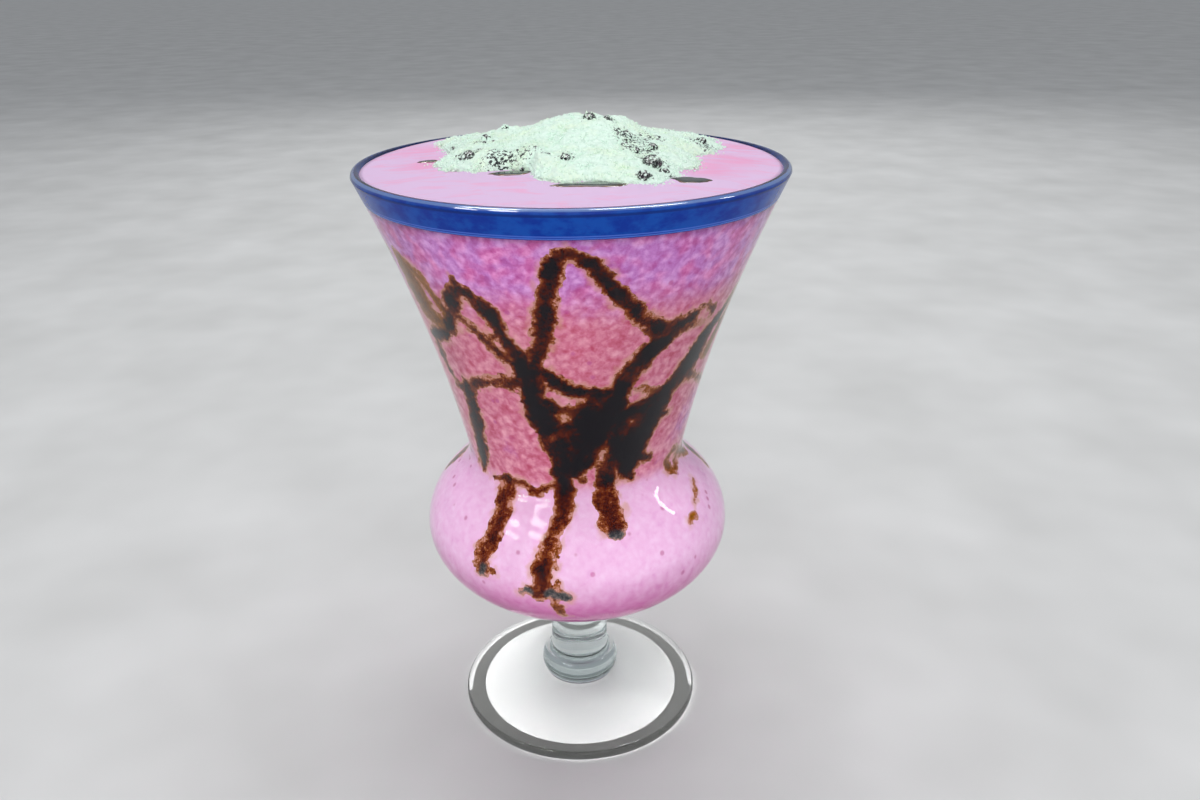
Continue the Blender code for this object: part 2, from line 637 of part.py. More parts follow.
def powder_height(x, y, edge_share):
    """The powder's thickness: a thin skirt with mounds on it, uneven, and down to nothing at the edge."""
    thickness = POWDER_SKIRT
    for mound_x, mound_y, radius, height in POWDER_MOUNDS:
        far = math.hypot(x / MM - mound_x, y / MM - mound_y) / radius
        thickness += height * MM * math.exp(-(far**POWDER_SHOULDER))
    for size, height in POWDER_LUMPS:
        thickness += height * noise.noise(Vector((x, y, size)) / size)
    fall = max(0.0, min(1.0, (1 - edge_share) / POWDER_EDGE_SHARE))
    return POWDER_EDGE + thickness * math.sqrt(fall)


def make_powder():
    centre_x, centre_y = POWDER_CENTRE
    bm = bmesh.new()

    def ring_at(share, height_of):
        ring = []
        for i in range(POWDER_SIDES):
            angle = 2 * math.pi * i / POWDER_SIDES
            reach = powder_reach(angle) * share
            x, y = centre_x + reach * math.cos(angle), centre_y + reach * math.sin(angle)
            ring.append(bm.verts.new((x, y, slush_top(x, y) + GAP + height_of(x, y, share))))
        return ring

    tops = [ring_at((k + 1) / POWDER_RINGS, powder_height) for k in range(POWDER_RINGS)]
    unders = [ring_at(share, lambda x, y, s: 0.0) for share in (0.35, 0.7, 1.0)]
    for inner, outer in [*zip(tops, tops[1:]), *zip(unders, unders[1:]), (tops[-1], unders[-1])]:
        for i in range(POWDER_SIDES):
            j = (i + 1) % POWDER_SIDES
            bm.faces.new((inner[i], inner[j], outer[j], outer[i]))
    for ring, thickness in ((tops[0], powder_height(centre_x, centre_y, 0)), (unders[0], 0)):
        z = slush_top(centre_x, centre_y) + GAP + thickness
        middle = bm.verts.new((centre_x, centre_y, z))
        for i in range(POWDER_SIDES):
            bm.faces.new((ring[i], ring[(i + 1) % POWDER_SIDES], middle))
    heap = add_object("milk_powder", bm, powder_material())
    apply_boolean(heap, [make_drop(i, *drop) for i, drop in enumerate(DROPS)], "UNION")
    merge_flat_faces(heap, POWDER_MERGE)
    return heap


def make_drop(index, x, y, radius):
    """A syrup drop that sits a third deep in the powder."""
    x, y, radius = x * MM, y * MM, radius * MM
    angle = math.atan2(y - POWDER_CENTRE[1], x - POWDER_CENTRE[0])
    far = math.hypot(x - POWDER_CENTRE[0], y - POWDER_CENTRE[1])
    top = slush_top(x, y) + GAP + powder_height(x, y, far / powder_reach(angle))
    bm = bmesh.new()
    bmesh.ops.create_uvsphere(bm, u_segments=7, v_segments=5, radius=radius)
    bmesh.ops.scale(bm, vec=(1, 1, 0.85), verts=bm.verts)
    bmesh.ops.translate(bm, vec=(x, y, top + 0.15 * radius), verts=bm.verts)
    return add_object(f"drop_{index}", bm, syrup_material())


def main():
    clear_scene()
    make_glass()
    make_rim_band()
    slush = make_slush()
    cutters = pool_cutters()
    webs = (
        ("syrup_front", FRONT_ROUTES, 100),
        ("syrup_right_drop", RIGHT_DROP_ROUTES, 200),
        ("syrup_left", LEFT_ROUTES, 300),
        ("syrup_back", BACK_ROUTES, 400),
    )
    for name, routes, seed in webs:
        make_syrup_web(name, routes, seed)
        cutters += channel_cutters(name, routes, seed)
    apply_boolean(slush, cutters, "DIFFERENCE")
    merge_flat_faces(slush, SLUSH_MERGE, below=SLUSH_BRIM - 2 * MM)
    make_pools()
    make_powder()


main()
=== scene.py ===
# A pink milk-ice drink in a footed glass: chocolate syrup down the wall, milk powder heaped on top.
# Lengths are millimetres until a mesh is made. Angles go round the glass from its front, towards +X.
import math
import bmesh
import bpy
import numpy as np
from mathutils import Matrix


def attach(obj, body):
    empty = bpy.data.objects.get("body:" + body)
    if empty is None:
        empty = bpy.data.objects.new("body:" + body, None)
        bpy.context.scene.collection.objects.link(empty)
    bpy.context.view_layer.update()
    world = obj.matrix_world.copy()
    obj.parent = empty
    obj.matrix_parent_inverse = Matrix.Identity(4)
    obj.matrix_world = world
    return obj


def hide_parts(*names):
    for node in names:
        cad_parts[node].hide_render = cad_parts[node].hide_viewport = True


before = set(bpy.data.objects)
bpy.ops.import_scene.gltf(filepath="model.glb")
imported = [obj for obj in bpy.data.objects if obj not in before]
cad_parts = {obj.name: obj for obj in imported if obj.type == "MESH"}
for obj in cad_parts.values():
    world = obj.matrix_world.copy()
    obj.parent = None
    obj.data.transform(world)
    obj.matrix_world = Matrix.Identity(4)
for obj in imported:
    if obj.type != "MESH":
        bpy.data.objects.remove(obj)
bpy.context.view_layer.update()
mm = 0.001

bpy.context.scene.view_settings.view_transform = "Standard"


# shaders: sockets that read as plain maths

def paint(red, green, blue):
    # a display colour, 0 to 255, as the linear colour that a shader takes
    shares = [part / 255 for part in (red, green, blue)]
    linear = [s / 12.92 if s <= 0.04045 else ((s + 0.055) / 1.055) ** 2.4 for s in shares]
    return (*linear, 1)


class Socket:
    def __init__(self, finish, output):
        self.finish = finish
        self.output = output

    def __add__(self, other):
        return self.finish.maths("ADD", self, other)

    def __radd__(self, other):
        return self.finish.maths("ADD", other, self)

    def __sub__(self, other):
        return self.finish.maths("SUBTRACT", self, other)

    def __rsub__(self, other):
        return self.finish.maths("SUBTRACT", other, self)

    def __mul__(self, other):
        return self.finish.maths("MULTIPLY", self, other)

    def __rmul__(self, other):
        return self.finish.maths("MULTIPLY", other, self)


class Finish:
    def __init__(self, name):
        self.material = bpy.data.materials.new(name)
        self.material.use_nodes = True
        self.nodes = self.material.node_tree.nodes
        self.links = self.material.node_tree.links
        self.nodes.clear()

    def node(self, kind, settings=None, sockets=None, output=0):
        # settings first, because some of them change which sockets there are
        made = self.nodes.new("ShaderNode" + kind)
        for key, value in (settings or {}).items():
            if key == "stops":
                self.setStops(made.color_ramp, value)
            else:
                setattr(made, key, value)
        for key, value in (sockets or {}).items():
            if isinstance(value, Socket):
                self.links.new(value.output, made.inputs[key])
            else:
                made.inputs[key].default_value = value
        return Socket(self, made.outputs[output])

    def setStops(self, ramp, stops):
        while len(ramp.elements) < len(stops):
            ramp.elements.new(0.5)
        for element, (place, colour) in zip(ramp.elements, stops):
            element.position = place
            element.color = colour

    def maths(self, operation, *values):
        return self.node("Math", {"operation": operation}, dict(enumerate(values)))

    def place(self):
        # the point on the piece, in millimetres
        spot = self.node("TexCoord", output="Object")
        return self.node("VectorMath", {"operation": "SCALE"}, {0: spot, "Scale": 1000})

    def stretched(self, spot, x, y, z):
        return self.node("VectorMath", {"operation": "MULTIPLY"}, {0: spot, 1: (x, y, z)})

    def noise(self, spot, size, detail=3, roughness=0.55, warp=0):
        # lumps about size millimetres across, 0 to 1
        numbers = {"Vector": spot, "Scale": 1 / size, "Detail": detail,
                   "Roughness": roughness, "Distortion": warp}
        return self.node("TexNoise", sockets=numbers)

    def warped(self, spot, size, reach):
        # the point pushed about by up to reach millimetres
        push = self.node("TexNoise", sockets={"Vector": spot, "Scale": 1 / size, "Detail": 2}, output="Color")
        push = self.node("VectorMath", {"operation": "SUBTRACT"}, {0: push, 1: (0.5, 0.5, 0.5)})
        push = self.node("VectorMath", {"operation": "SCALE"}, {0: push, "Scale": 2 * reach})
        return self.node("VectorMath", {"operation": "ADD"}, {0: spot, 1: push})

    def cells(self, spot, size, output="Distance"):
        return self.node("TexVoronoi", sockets={"Vector": spot, "Scale": 1 / size}, output=output)

    def stored(self, name):
        # a number kept on the mesh's points
        return self.node("Attribute", {"attribute_name": name}, output="Fac")

    def fade(self, value, start, end):
        # 0 at start to 1 at end, smooth, either way round
        numbers = {"Value": value, "From Min": start, "From Max": end}
        return self.node("MapRange", {"interpolation_type": "SMOOTHSTEP"}, numbers)

    def ramp(self, value, stops):
        return self.node("ValToRGB", {"stops": stops}, {0: value}, "Color")

    def blend(self, share, first, second):
        return self.node("Mix", {"data_type": "RGBA"}, {0: share, 6: first, 7: second}, 2)

    def bump(self, height, depth, strength=1.0):
        return self.node("Bump", sockets={"Height": height, "Distance": depth * mm, "Strength": strength})

    def close(self, sockets, volume=None):
        shader = self.node("BsdfPrincipled", sockets=sockets)
        end = self.nodes.new("ShaderNodeOutputMaterial")
        self.links.new(shader.output, end.inputs["Surface"])
        if volume:
            self.links.new(volume.output, end.inputs["Volume"])
        return self.material


# shapes: numpy helpers that every piece shares

def lumps(points, size, seed):
    # smooth noise from -1 to 1 at points (..., 3), with lumps about size across
    grid = 48
    lattice = np.random.default_rng(seed).uniform(-1, 1, (grid, grid, grid))
    cell = points / size
    low = np.floor(cell).astype(int)
    share = cell - low
    share = share * share * (3 - 2 * share)
    total = 0
    for corner in np.ndindex(2, 2, 2):
        weight = np.prod(np.where(corner, share, 1 - share), axis=-1)
        index = (low + corner) % grid
        total = total + weight * lattice[index[..., 0], index[..., 1], index[..., 2]]
    return total


def roughened(values, points, *layers):
    # values with lumps of several sizes added: (height, size, seed) for each
    for height, size, seed in layers:
        values = values + height * lumps(points, size, seed)
    return values


def addObject(name, data):
    made = bpy.data.objects.new(name, data)
    bpy.context.scene.collection.objects.link(made)
    return made


def addPiece(name, points, faces, material, attributes=None):
    mesh = bpy.data.meshes.new(name)
    mesh.from_pydata((points * mm).tolist(), [], faces)
    mesh.shade_smooth()
    for key, values in (attributes or {}).items():
        mesh.attributes.new(key, "FLOAT", "POINT").data.foreach_set("value", values.astype(np.float32))
    mesh.materials.append(material)
    piece = addObject(name, mesh)
    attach(piece, "root")
    print(f"{name}: {len(mesh.vertices)} points, {len(mesh.polygons)} faces")
    return piece


def ringFaces(rings, segments):
    # quads between rings of points that close on themselves
    ring = np.arange(rings - 1)[:, None] * segments
    here = np.arange(segments)[None, :]
    after = (here + 1) % segments
    quads = np.stack((ring + here, ring + after, ring + segments + after, ring + segments + here), -1)
    return quads.reshape(-1, 4).tolist()


def fanFaces(first, segments, middle, upwards):
    # triangles that close a ring of points onto one point
    fan = []
    for i in range(segments):
        a, b = first + i, first + (i + 1) % segments
        fan.append((a, b, middle) if upwards else (b, a, middle))
    return fan


def cappedRings(rings, low, high):
    # rings of points, the lowest first, closed onto one point below and one above
    count, segments = rings.shape[:2]
    total = count * segments
    faces = ringFaces(count, segments) + fanFaces(0, segments, total, False)
    faces += fanFaces(total - segments, segments, total + 1, True)
    return np.vstack((rings.reshape(-1, 3), low, high)), faces


def fullTurn(segments):
    return np.linspace(0, 2 * math.pi, segments, endpoint=False)


def roundAxis(radius, angle, z):
    # points at an angle from the front, towards +X
    return np.stack(np.broadcast_arrays(radius * np.sin(angle), -radius * np.cos(angle), z), -1)


def ringPoints(radius, z, segments):
    return roundAxis(radius[:, None], fullTurn(segments), z[:, None])


def turnedMesh(outline, segments):
    # an outline of (radius, height) turned about Z; it starts and ends on the axis
    outline = np.array(outline, float)
    rings = ringPoints(outline[1:-1, 0], outline[1:-1, 1], segments)
    return cappedRings(rings, (0, 0, outline[0, 1]), (0, 0, outline[-1, 1]))


def curveThrough(a, b, c, d, t):
    # from b to c as t goes from 0 to 1, smoothly on from a and towards d
    bend = 2 * a - 5 * b + 4 * c - d
    return 0.5 * (2 * b + (c - a) * t + bend * t**2 + (3 * b - a - 3 * c + d) * t**3)


def catmull(points, spacing):
    # a smooth line through points, whose own rows may hold widths as well
    points = np.array(points, float)
    padded = np.vstack((points[0], points, points[-1]))
    line = []
    for a, b, c, d in zip(padded, padded[1:], padded[2:], padded[3:]):
        count = max(2, int(np.abs(c - b)[:2].max() / spacing))
        t = np.linspace(0, 1, count, endpoint=False)[:, None]
        line.append(curveThrough(a, b, c, d, t))
    return np.vstack((*line, points[-1:]))


# the glass
glassShape = {
    "rimHeight": 151.7, "lipRadius": 1.2, "wall": 2.4, "underBand": 0.06,
    "waistHeight": 82.0, "waistRadius": 28.2, "flareSlope": 0.215, "flareCurve": 0.00175,
    "bulbHeight": 58.0, "bulbRadius": 39.8, "bulbDrop": 23.4, "bulbShoulder": 25.3, "waistBlend": 2.5,
    "bulbEnd": 0.93,  # how much of the bulb's lower half there is before the stem
    "floorHeight": 38.4, "floorStart": 41.45, "floorBend": 3.4,
    "stemRadius": 8.05, "stemTop": 33.0, "stemDip": 0.25, "dipStart": 14.7, "dipLength": 18,
    "filletOut": 3.2, "filletUp": 2.6, "filletTurn": 75,
    "knopRadius": 10.7, "knopNeck": 10.0, "knopHeight": 10.2, "knopHalfHeight": 3.6, "knopTurns": (-60, 78),
    "footRadius": 32.9, "footEdge": 1.6, "footRise": 4.0, "footBend": 1.7,
    "restInner": 27.5, "restOuter": 31.2, "hollow": 1.3,
    "segments": 220, "sampled": (35.2, 156, 4000),
}


def outerRadius(z):
    shape = glassShape
    z = np.asarray(z, float)
    below = (shape["bulbHeight"] - z) / shape["bulbDrop"]
    lower = shape["bulbRadius"] * np.sqrt(np.clip(1 - below**2, 0, None))
    above = np.clip((z - shape["bulbHeight"]) / shape["bulbShoulder"], 0, 1)
    bulb = shape["bulbRadius"] * np.sqrt(1 - above**2)
    up = z - shape["waistHeight"]
    flare = shape["waistRadius"] + shape["flareSlope"] * up + shape["flareCurve"] * up**2
    blend = shape["waistBlend"]
    upper = np.maximum(bulb, flare) + blend * np.log1p(np.exp(-np.abs(bulb - flare) / blend))
    return np.where(z < shape["bulbHeight"], lower, upper)


def wallRadius(z, inwards):
    # the radius at height z of a surface that lies inwards of the outside, measured square to it
    heights = np.linspace(*glassShape["sampled"])
    slope = np.gradient(outerRadius(heights), heights)
    steep = np.hypot(1, slope)
    return np.interp(z, heights + inwards * slope / steep, outerRadius(heights) - inwards / steep)


def wallPoints(angle, z, inwards):
    return roundAxis(wallRadius(z, inwards), angle, z)


def floorCurve(inwards, rings):
    # the bowl's round floor: meets the wall along its slope and is flat at the axis
    start, middle = glassShape["floorStart"], glassShape["floorHeight"] + inwards - glassShape["wall"]
    edge = float(wallRadius(start, inwards))
    radius = edge * np.linspace(1, 0, rings)
    return radius, middle + (start - middle) * (radius / edge) ** glassShape["floorBend"]


def footOutline():
    shape = glassShape
    inner, outer, edge = shape["restInner"], shape["restOuter"], shape["footEdge"]
    under = [(r, shape["hollow"] * (1 - (r / inner) ** 2)) for r in np.linspace(0, inner, 14)]
    rim = []
    for turn in np.linspace(-math.pi / 2, math.pi / 2, 17)[1:]:
        rim.append((outer + (shape["footRadius"] - outer) * math.cos(turn), edge * (1 + math.sin(turn))))
    top = []
    for share in np.linspace(0, 1, 24)[1:]:
        height = 2 * edge + shape["footRise"] * share ** shape["footBend"]
        top.append((outer + (shape["knopNeck"] - outer) * share, height))
    return [*under, (outer, 0), *rim, *top]


def stemOutline():
    shape = glassShape
    points = []
    for turn in np.radians(np.linspace(*shape["knopTurns"], 20)):
        radius = shape["stemRadius"] + (shape["knopRadius"] - shape["stemRadius"]) * math.cos(turn)
        points.append((radius, shape["knopHeight"] + shape["knopHalfHeight"] * math.sin(turn)))
    for z in np.linspace(shape["knopHeight"] + 1.25 * shape["knopHalfHeight"], shape["stemTop"] - 1, 12):
        dip = shape["stemDip"] * math.sin(math.pi * (z - shape["dipStart"]) / shape["dipLength"])
        points.append((shape["stemRadius"] - dip, z))
    # a small fillet under the bulb
    for turn in np.radians(np.linspace(0, shape["filletTurn"], 9)):
        radius = shape["stemRadius"] + shape["filletOut"] * (1 - math.cos(turn))
        points.append((radius, shape["stemTop"] + shape["filletUp"] * math.sin(turn)))
    return points


def glassOutline():
    shape = glassShape
    high = shape["rimHeight"] - shape["lipRadius"]
    turns = np.linspace(math.asin(shape["bulbEnd"]), 0, 30)
    bulb = [shape["bulbHeight"] - shape["bulbDrop"] * math.sin(t) for t in turns]
    outside = np.concatenate((bulb, np.linspace(shape["bulbHeight"], high, 120)[1:]))
    points = footOutline() + stemOutline()
    # a hair thinner under the band
    points += [(float(outerRadius(z)) - shape["underBand"] * (z > band["low"]), z) for z in outside]
    lipMiddle, lip = float(outerRadius(high)) - shape["lipRadius"], shape["lipRadius"] - shape["underBand"]
    for turn in np.linspace(0, math.pi, 15)[1:]:
        points.append((lipMiddle + lip * math.cos(turn), high + lip * math.sin(turn)))
    inside = np.linspace(high - 0.4, shape["floorStart"], 120)
    points += list(zip(wallRadius(inside, shape["wall"]), inside))
    points += list(zip(*floorCurve(shape["wall"], 16)))[1:]
    return points


def clearGlass():
    finish = Finish("clearGlass")
    spot = finish.place()
    # faint waves of pressed glass
    waves = finish.noise(finish.stretched(spot, 1, 1, 0.35), 9, detail=1)
    tint = finish.node("VolumeAbsorption", sockets={"Color": paint(178, 205, 205), "Density": 22})
    sockets = {
        "Base Color": (1, 1, 1, 1), "Roughness": 0.0, "IOR": 1.48, "Transmission Weight": 1.0,
        "Specular Tint": (0.22, 0.22, 0.22, 1),
        "Normal": finish.bump(waves, 0.05),
    }
    return finish.close(sockets, tint)


def makeGlass():
    points, faces = turnedMesh(glassOutline(), glassShape["segments"])
    glass = addPiece("footedGlass", points, faces, clearGlass())
    glass.visible_shadow = False
    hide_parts("glass")


# the blue band under the lip
band = {
    "low": 145.0, "overLip": 74, "sunk": 0.22, "proud": -0.005, "soft": 0.1,
    "body": (14, 70, 160), "deep": (6, 46, 140),
    # lip is a painted highlight: the pale blue-grey sheen of the glass lip, not enamel
    "line": (78, 112, 204), "top": (10, 36, 104), "lip": (104, 132, 184),
    # fine stripes round the glass: (height, half width, tone); the lip stripe is a painted highlight, the
    # glassy sheen along the lip's crown
    "stripes": ((145.3, 0.16, "line"), (145.8, 0.12, "line"), (150.3, 0.3, "top"), (151.4, 0.25, "lip")),
    "segments": 220, "wallRows": 20, "lipRows": 21,
}


def blueEnamel():
    finish = Finish("blueEnamel")
    spot = finish.place()
    height = finish.node("SeparateXYZ", sockets={0: spot}, output=2)
    cloudy = finish.noise(finish.stretched(spot, 1, 1, 1.6), 5, detail=4, roughness=0.6)
    colour = finish.blend(finish.fade(cloudy, 0.38, 0.66), paint(*band["body"]), paint(*band["deep"]))
    wobble = height + 0.08 * finish.noise(spot, 2.2)
    for middle, half, tone in band["stripes"]:
        mask = 1 - finish.fade(finish.maths("ABSOLUTE", wobble - middle), half * 0.5, half * 1.5)
        colour = finish.blend(0.75 * mask, colour, paint(*band[tone]))
    grain = finish.noise(spot, 0.5, detail=2)
    return finish.close({
        "Base Color": colour, "Roughness": 0.14 + 0.1 * cloudy, "Specular IOR Level": 0.12,
        "Coat Weight": finish.fade(height, 150.5, 150.9), "Coat Roughness": 0.03,
        "Normal": finish.bump(grain, 0.006),
    })


def bandOutline(out):
    # up the outside of the glass and over its round lip, out from its surface
    lipHeight, lipRadius = glassShape["rimHeight"] - glassShape["lipRadius"], glassShape["lipRadius"]
    rows = band["wallRows"]
    wall = np.linspace(band["low"], lipHeight, rows)
    turn = np.radians(np.linspace(0, band["overLip"], band["lipRows"] + 1))[1:]
    middle = float(outerRadius(lipHeight)) - lipRadius
    onLip = lipRadius + out[rows:]
    radius = np.concatenate((outerRadius(wall) + out[:rows], middle + onLip * np.cos(turn)))
    return radius, np.concatenate((wall, lipHeight + onLip * np.sin(turn)))


def makeBand():
    rows = band["wallRows"] + band["lipRows"]
    proud = np.full(rows, band["proud"])
    proud[[0, -1]] -= band["soft"]
    outerRing, outerHeight = bandOutline(proud)
    innerRing, innerHeight = bandOutline(np.full(rows, -band["sunk"]))
    radius = np.concatenate((outerRing, innerRing[::-1]))
    rings = ringPoints(radius, np.concatenate((outerHeight, innerHeight[::-1])), band["segments"])
    rings = np.concatenate((rings, rings[:1]))
    count = len(rings) - 1
    faces = np.array(ringFaces(len(rings), band["segments"])) % (count * band["segments"])
    piece = addPiece("blueBand", rings[:-1].reshape(-1, 3), faces.tolist(), blueEnamel())
    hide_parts("rim_band")


# the syrup on the wall, as a field over the unrolled glass
# body is how thick and dark a strand is, ochre how far it has thinned to yellow-brown,
# and the third trait how slate-grey it lies, which is a painted sheen of reflected light.
# A route is (angle in degrees, height, width).
frontSyrup = (
    {"body": 1.0, "routes": (
        ((2, 142.0, 3.4), (-2, 142.1, 3.8), (-4.8, 139, 4.6), (-6, 135, 4.6), (-7.6, 130, 4.9),
         (-8.7, 125, 4.6), (-10.5, 121, 4.3), (-12.9, 117, 3.6), (-14.5, 112, 4.5), (-16, 107, 6)),
        ((0.5, 142.1, 3.4), (4.5, 140.4, 3.4), (8.5, 137.2, 3.5), (12, 134.1, 3.7), (16, 130.7, 3.9),
         (20, 127.9, 4.4), (24, 125, 4.8), (29, 122.6, 4.8), (35, 121.3, 5.2)),
        ((33, 122, 4.5), (39, 122.3, 4.2), (42.5, 123.3, 3.2), (46, 124.8, 1.9), (49.5, 125.4, 1.8),
         (53, 123.8, 2.2), (55.5, 122, 1.4)),
        ((38, 120.5, 3.2), (33, 118.8, 5.5), (28, 116, 6), (24, 113, 5.6), (20.5, 110, 5.6), (17.5, 106, 6),
         (17, 102, 7)),
        ((67, 122.3, 3.4), (63, 120, 4.0), (58.5, 117.5, 5.2), (54, 113.5, 6.8), (50, 109.3, 7.4),
         (45, 106, 6.2), (39, 103.5, 5.4), (32, 101.3, 5.6), (26, 100, 7)),
        ((42, 103, 5), (38, 100, 7), (32, 96, 9), (28, 91.5, 9.4), (27, 87, 8.4), (27, 83.4, 5.6),
         (29, 80.8, 2.6)),
        ((30, 97.6, 5), (38, 97.8, 3.6), (46, 97.2, 1.4)),
        ((29, 87, 4.4), (35, 86, 3.2), (42, 84.6, 1.2)),
        ((-11.5, 113.2, 3.6), (-8, 110.6, 4), (-4, 108.8, 4), (1, 107.6, 3.8), (6, 107, 3.8),
         (11, 106.6, 3.6), (17, 106.6, 4.4)),
        ((-13, 104.8, 3.2), (-9, 103, 3.6), (-4, 101.6, 4.2), (1, 101.2, 4.6), (6, 101.4, 5)),
        ((-11.5, 99.4, 4.4), (-6, 98, 5.2), (-1, 98, 5.4), (4, 99, 5)),
        ((-19.6, 115.5, 5), (-18.4, 111, 5.8), (-16.6, 106, 6), (-14.5, 101, 6.6), (-11.2, 97, 7.6),
         (-7, 92, 7.6), (-5.2, 87.5, 6.6), (-6, 83.5, 6), (-6.5, 79.5, 5.2)),
        ((9, 105.6, 5), (6, 100.4, 8.6), (4, 96, 9.6), (4, 91, 9), (2.6, 87, 7), (-1, 84, 4.4),
         (3.4, 81.8, 1.6)),
        ((15, 104, 7.4), (12.6, 99, 8.4), (10, 93.5, 7), (8, 89, 4.6)),
        ((20, 99, 8), (19, 93, 6.2), (18, 88.4, 5.2), (16.5, 84, 5.2), (15.8, 80, 5.2)),
        ((-63, 115.8, 3.2), (-57, 117.5, 4.2), (-52, 119, 4.6), (-47, 121, 4.4), (-43.5, 124.5, 4.2),
         (-40.5, 128.5, 4.4), (-37, 131.6, 4), (-33, 131.5, 3.6), (-29, 129.4, 4.2), (-26, 126, 4),
         (-23.5, 122, 3.7), (-21.5, 118.5, 3.9), (-19.5, 114, 4.6)),
        ((-50, 104.5, 4.8), (-50.7, 100, 5), (-52, 95, 5.2), (-54, 90.5, 5), (-55.4, 86, 4.6),
         (-57.4, 82, 3.6), (-58, 79.2, 2.2)),
        ((92, 110, 2.8), (88.5, 116, 3.8), (86.5, 121, 3.8), (84.6, 126.4, 3.2)),
        ((92, 111, 4), (93.4, 106, 4.4), (95, 100, 4.2), (96, 93, 3.8), (97, 86, 3.4), (97, 80, 2.8),
         (98, 74, 2.6), (97, 69, 2)),
        ((91, 112, 2.8), (99, 113, 2.4), (106, 116, 2.6), (112, 120, 2.2)),
    )},
    # drip tips with a painted grey sheen of reflected light
    {"body": 0.9, "ash": 1.0, "routes": (
        ((-20.4, 57, 1.3), (-17, 57.6, 2.4), (-12, 57.6, 3.4), (-7, 57.4, 2.7), (-2.8, 56.2, 1.3)),
        ((16, 72.4, 5.6), (16.5, 70.6, 5.4)),
        ((-37.6, 62.2, 3.6), (-36.9, 60.6, 3.4), (-36.6, 59.6, 3.2)),
    )},
    {"body": 0.55, "ochre": 0.1, "routes": (
        ((15.8, 80, 5.2), (15.5, 76, 5.8), (15.8, 73, 6.2), (16.5, 70.6, 5.4)),
        ((-6, 81, 3.8), (-11, 80.2, 2.2), (-15.4, 79.2, 1.4), (-20, 77.8, 1.4), (-23, 78, 1.9),
         (-26.4, 79, 2), (-30, 79.3, 2.3), (-35, 79.2, 2.6), (-40, 79.2, 2.5), (-44.6, 78.6, 1.7),
         (-49, 78.2, 0.9)),
        ((-37.8, 78.6, 4.6), (-37.2, 75.5, 4.4), (-35.2, 72.5, 4.2), (-34.3, 70, 4.1), (-35, 67, 3.8),
         (-37.3, 64.2, 4.4), (-38, 61.6, 4.2), (-36.6, 59.6, 3.2)),
        ((-6.5, 82, 5.6), (-6.5, 78, 5), (-6.5, 74.4, 4.6), (-8.6, 71.2, 4), (-11, 68.5, 3.5),
         (-11.9, 65.5, 3.8), (-13, 62.5, 4.8), (-13, 59.8, 4.6), (-13, 57.2, 4.6)),
        ((-36.4, 131.4, 2.6), (-36, 133.4, 2), (-35.8, 135.2, 1.2)),
    )},
    {"body": 0.62, "routes": (
        ((-39, 124.4, 1.6), (-34.5, 122, 1.8), (-31, 120, 2.4), (-28, 117.8, 2.8), (-24.5, 116, 3),
         (-20, 113.6, 3.2)),
        ((-19, 110, 4.2), (-25, 108.8, 3.4), (-30, 108.7, 2.8), (-36, 108, 2.6), (-42, 107, 2.8),
         (-48, 105.2, 3), (-54, 103.8, 3.2), (-59, 103, 1.8)),
        ((-62, 116, 3), (-62.6, 111.4, 3), (-61.6, 107.4, 2.4), (-58, 104.4, 2.2)),
    )},
    {"body": 0.45, "ochre": 0.3, "routes": (
        ((-8.6, 57.4, 2.2), (-8, 54.4, 2.2), (-6.6, 51.8, 1.7), (-5.2, 50.2, 1.1)),
        ((26, 106.8, 1.4), (30, 106.2, 1.7), (34, 105.3, 1.9), (40, 104.4, 3)),
        ((-39, 60.4, 2.8), (-35.4, 59.8, 2), (-32, 60, 0.9)),
        ((50, 106.6, 3.2), (57, 105.6, 2), (62, 104.4, 1.7), (67, 103.2, 1.5), (73, 101, 1.4)),
        ((40, 121, 2.6), (45, 121.2, 1.6), (50, 120.4, 1.0)),
        ((-30, 119.5, 1.2), (-27, 121.2, 0.9), (-24, 121, 1.4)),
        ((-8.5, 72, 1), (-7.6, 68, 0.9), (-7.4, 63.5, 0.9)),
        ((-7.2, 60, 0.9), (-5.5, 57.5, 1.2)),
        ((10, 86, 1.2), (15, 85.6, 1.4), (20, 86.4, 1.2)),
    )},
    {"body": 0.55, "ochre": 0.8, "routes": (
        ((76, 125, 1.6), (73, 121.4, 3.6), (70, 117.8, 4.6), (67, 114, 4.6), (64, 110.4, 4)),
        ((90, 129, 2.2), (82, 128, 2.8), (74, 125.4, 3.2), (67, 122.3, 3.4)),
        ((-62, 137.4, 3), (-60.5, 134, 6.6), (-60, 130, 8.6), (-59.8, 126, 8.6), (-57.5, 123, 7.6),
         (-53.5, 121.4, 6), (-49, 120.6, 4.6)),
        ((-56, 134.4, 3), (-52.6, 132.6, 3), (-50, 130, 2.8), (-47.8, 127.4, 3), (-45.6, 124.4, 3.4)),
        ((-56.6, 85, 3), (-60.4, 82.2, 2), (-64.4, 80.4, 1)),
        ((-55, 125.5, 1.6), (-52, 126, 1.0)),
        ((60, 69.5, 0.5), (66, 70.5, 0.8), (71, 72, 0.6)),
        ((51, 67, 0.8), (54, 67.8, 1.1), (57, 67.2, 0.8)),
    )},
)
rightDropSyrup = (
    {"body": 0.6, "ochre": 0.5, "routes": (
        ((56, 81, 2), (57.8, 79, 2.8), (60.4, 77.2, 3.2), (64, 76.7, 3.2), (66.4, 78.6, 2.4), (66, 81, 2)),
        ((57, 81.8, 1.8), (61, 82.8, 1.8), (66, 81.8, 2.4), (71, 80.6, 2.6), (77, 78.8, 2.6), (83, 77, 2.2),
         (88, 75.6, 1.4)),
    )},
)
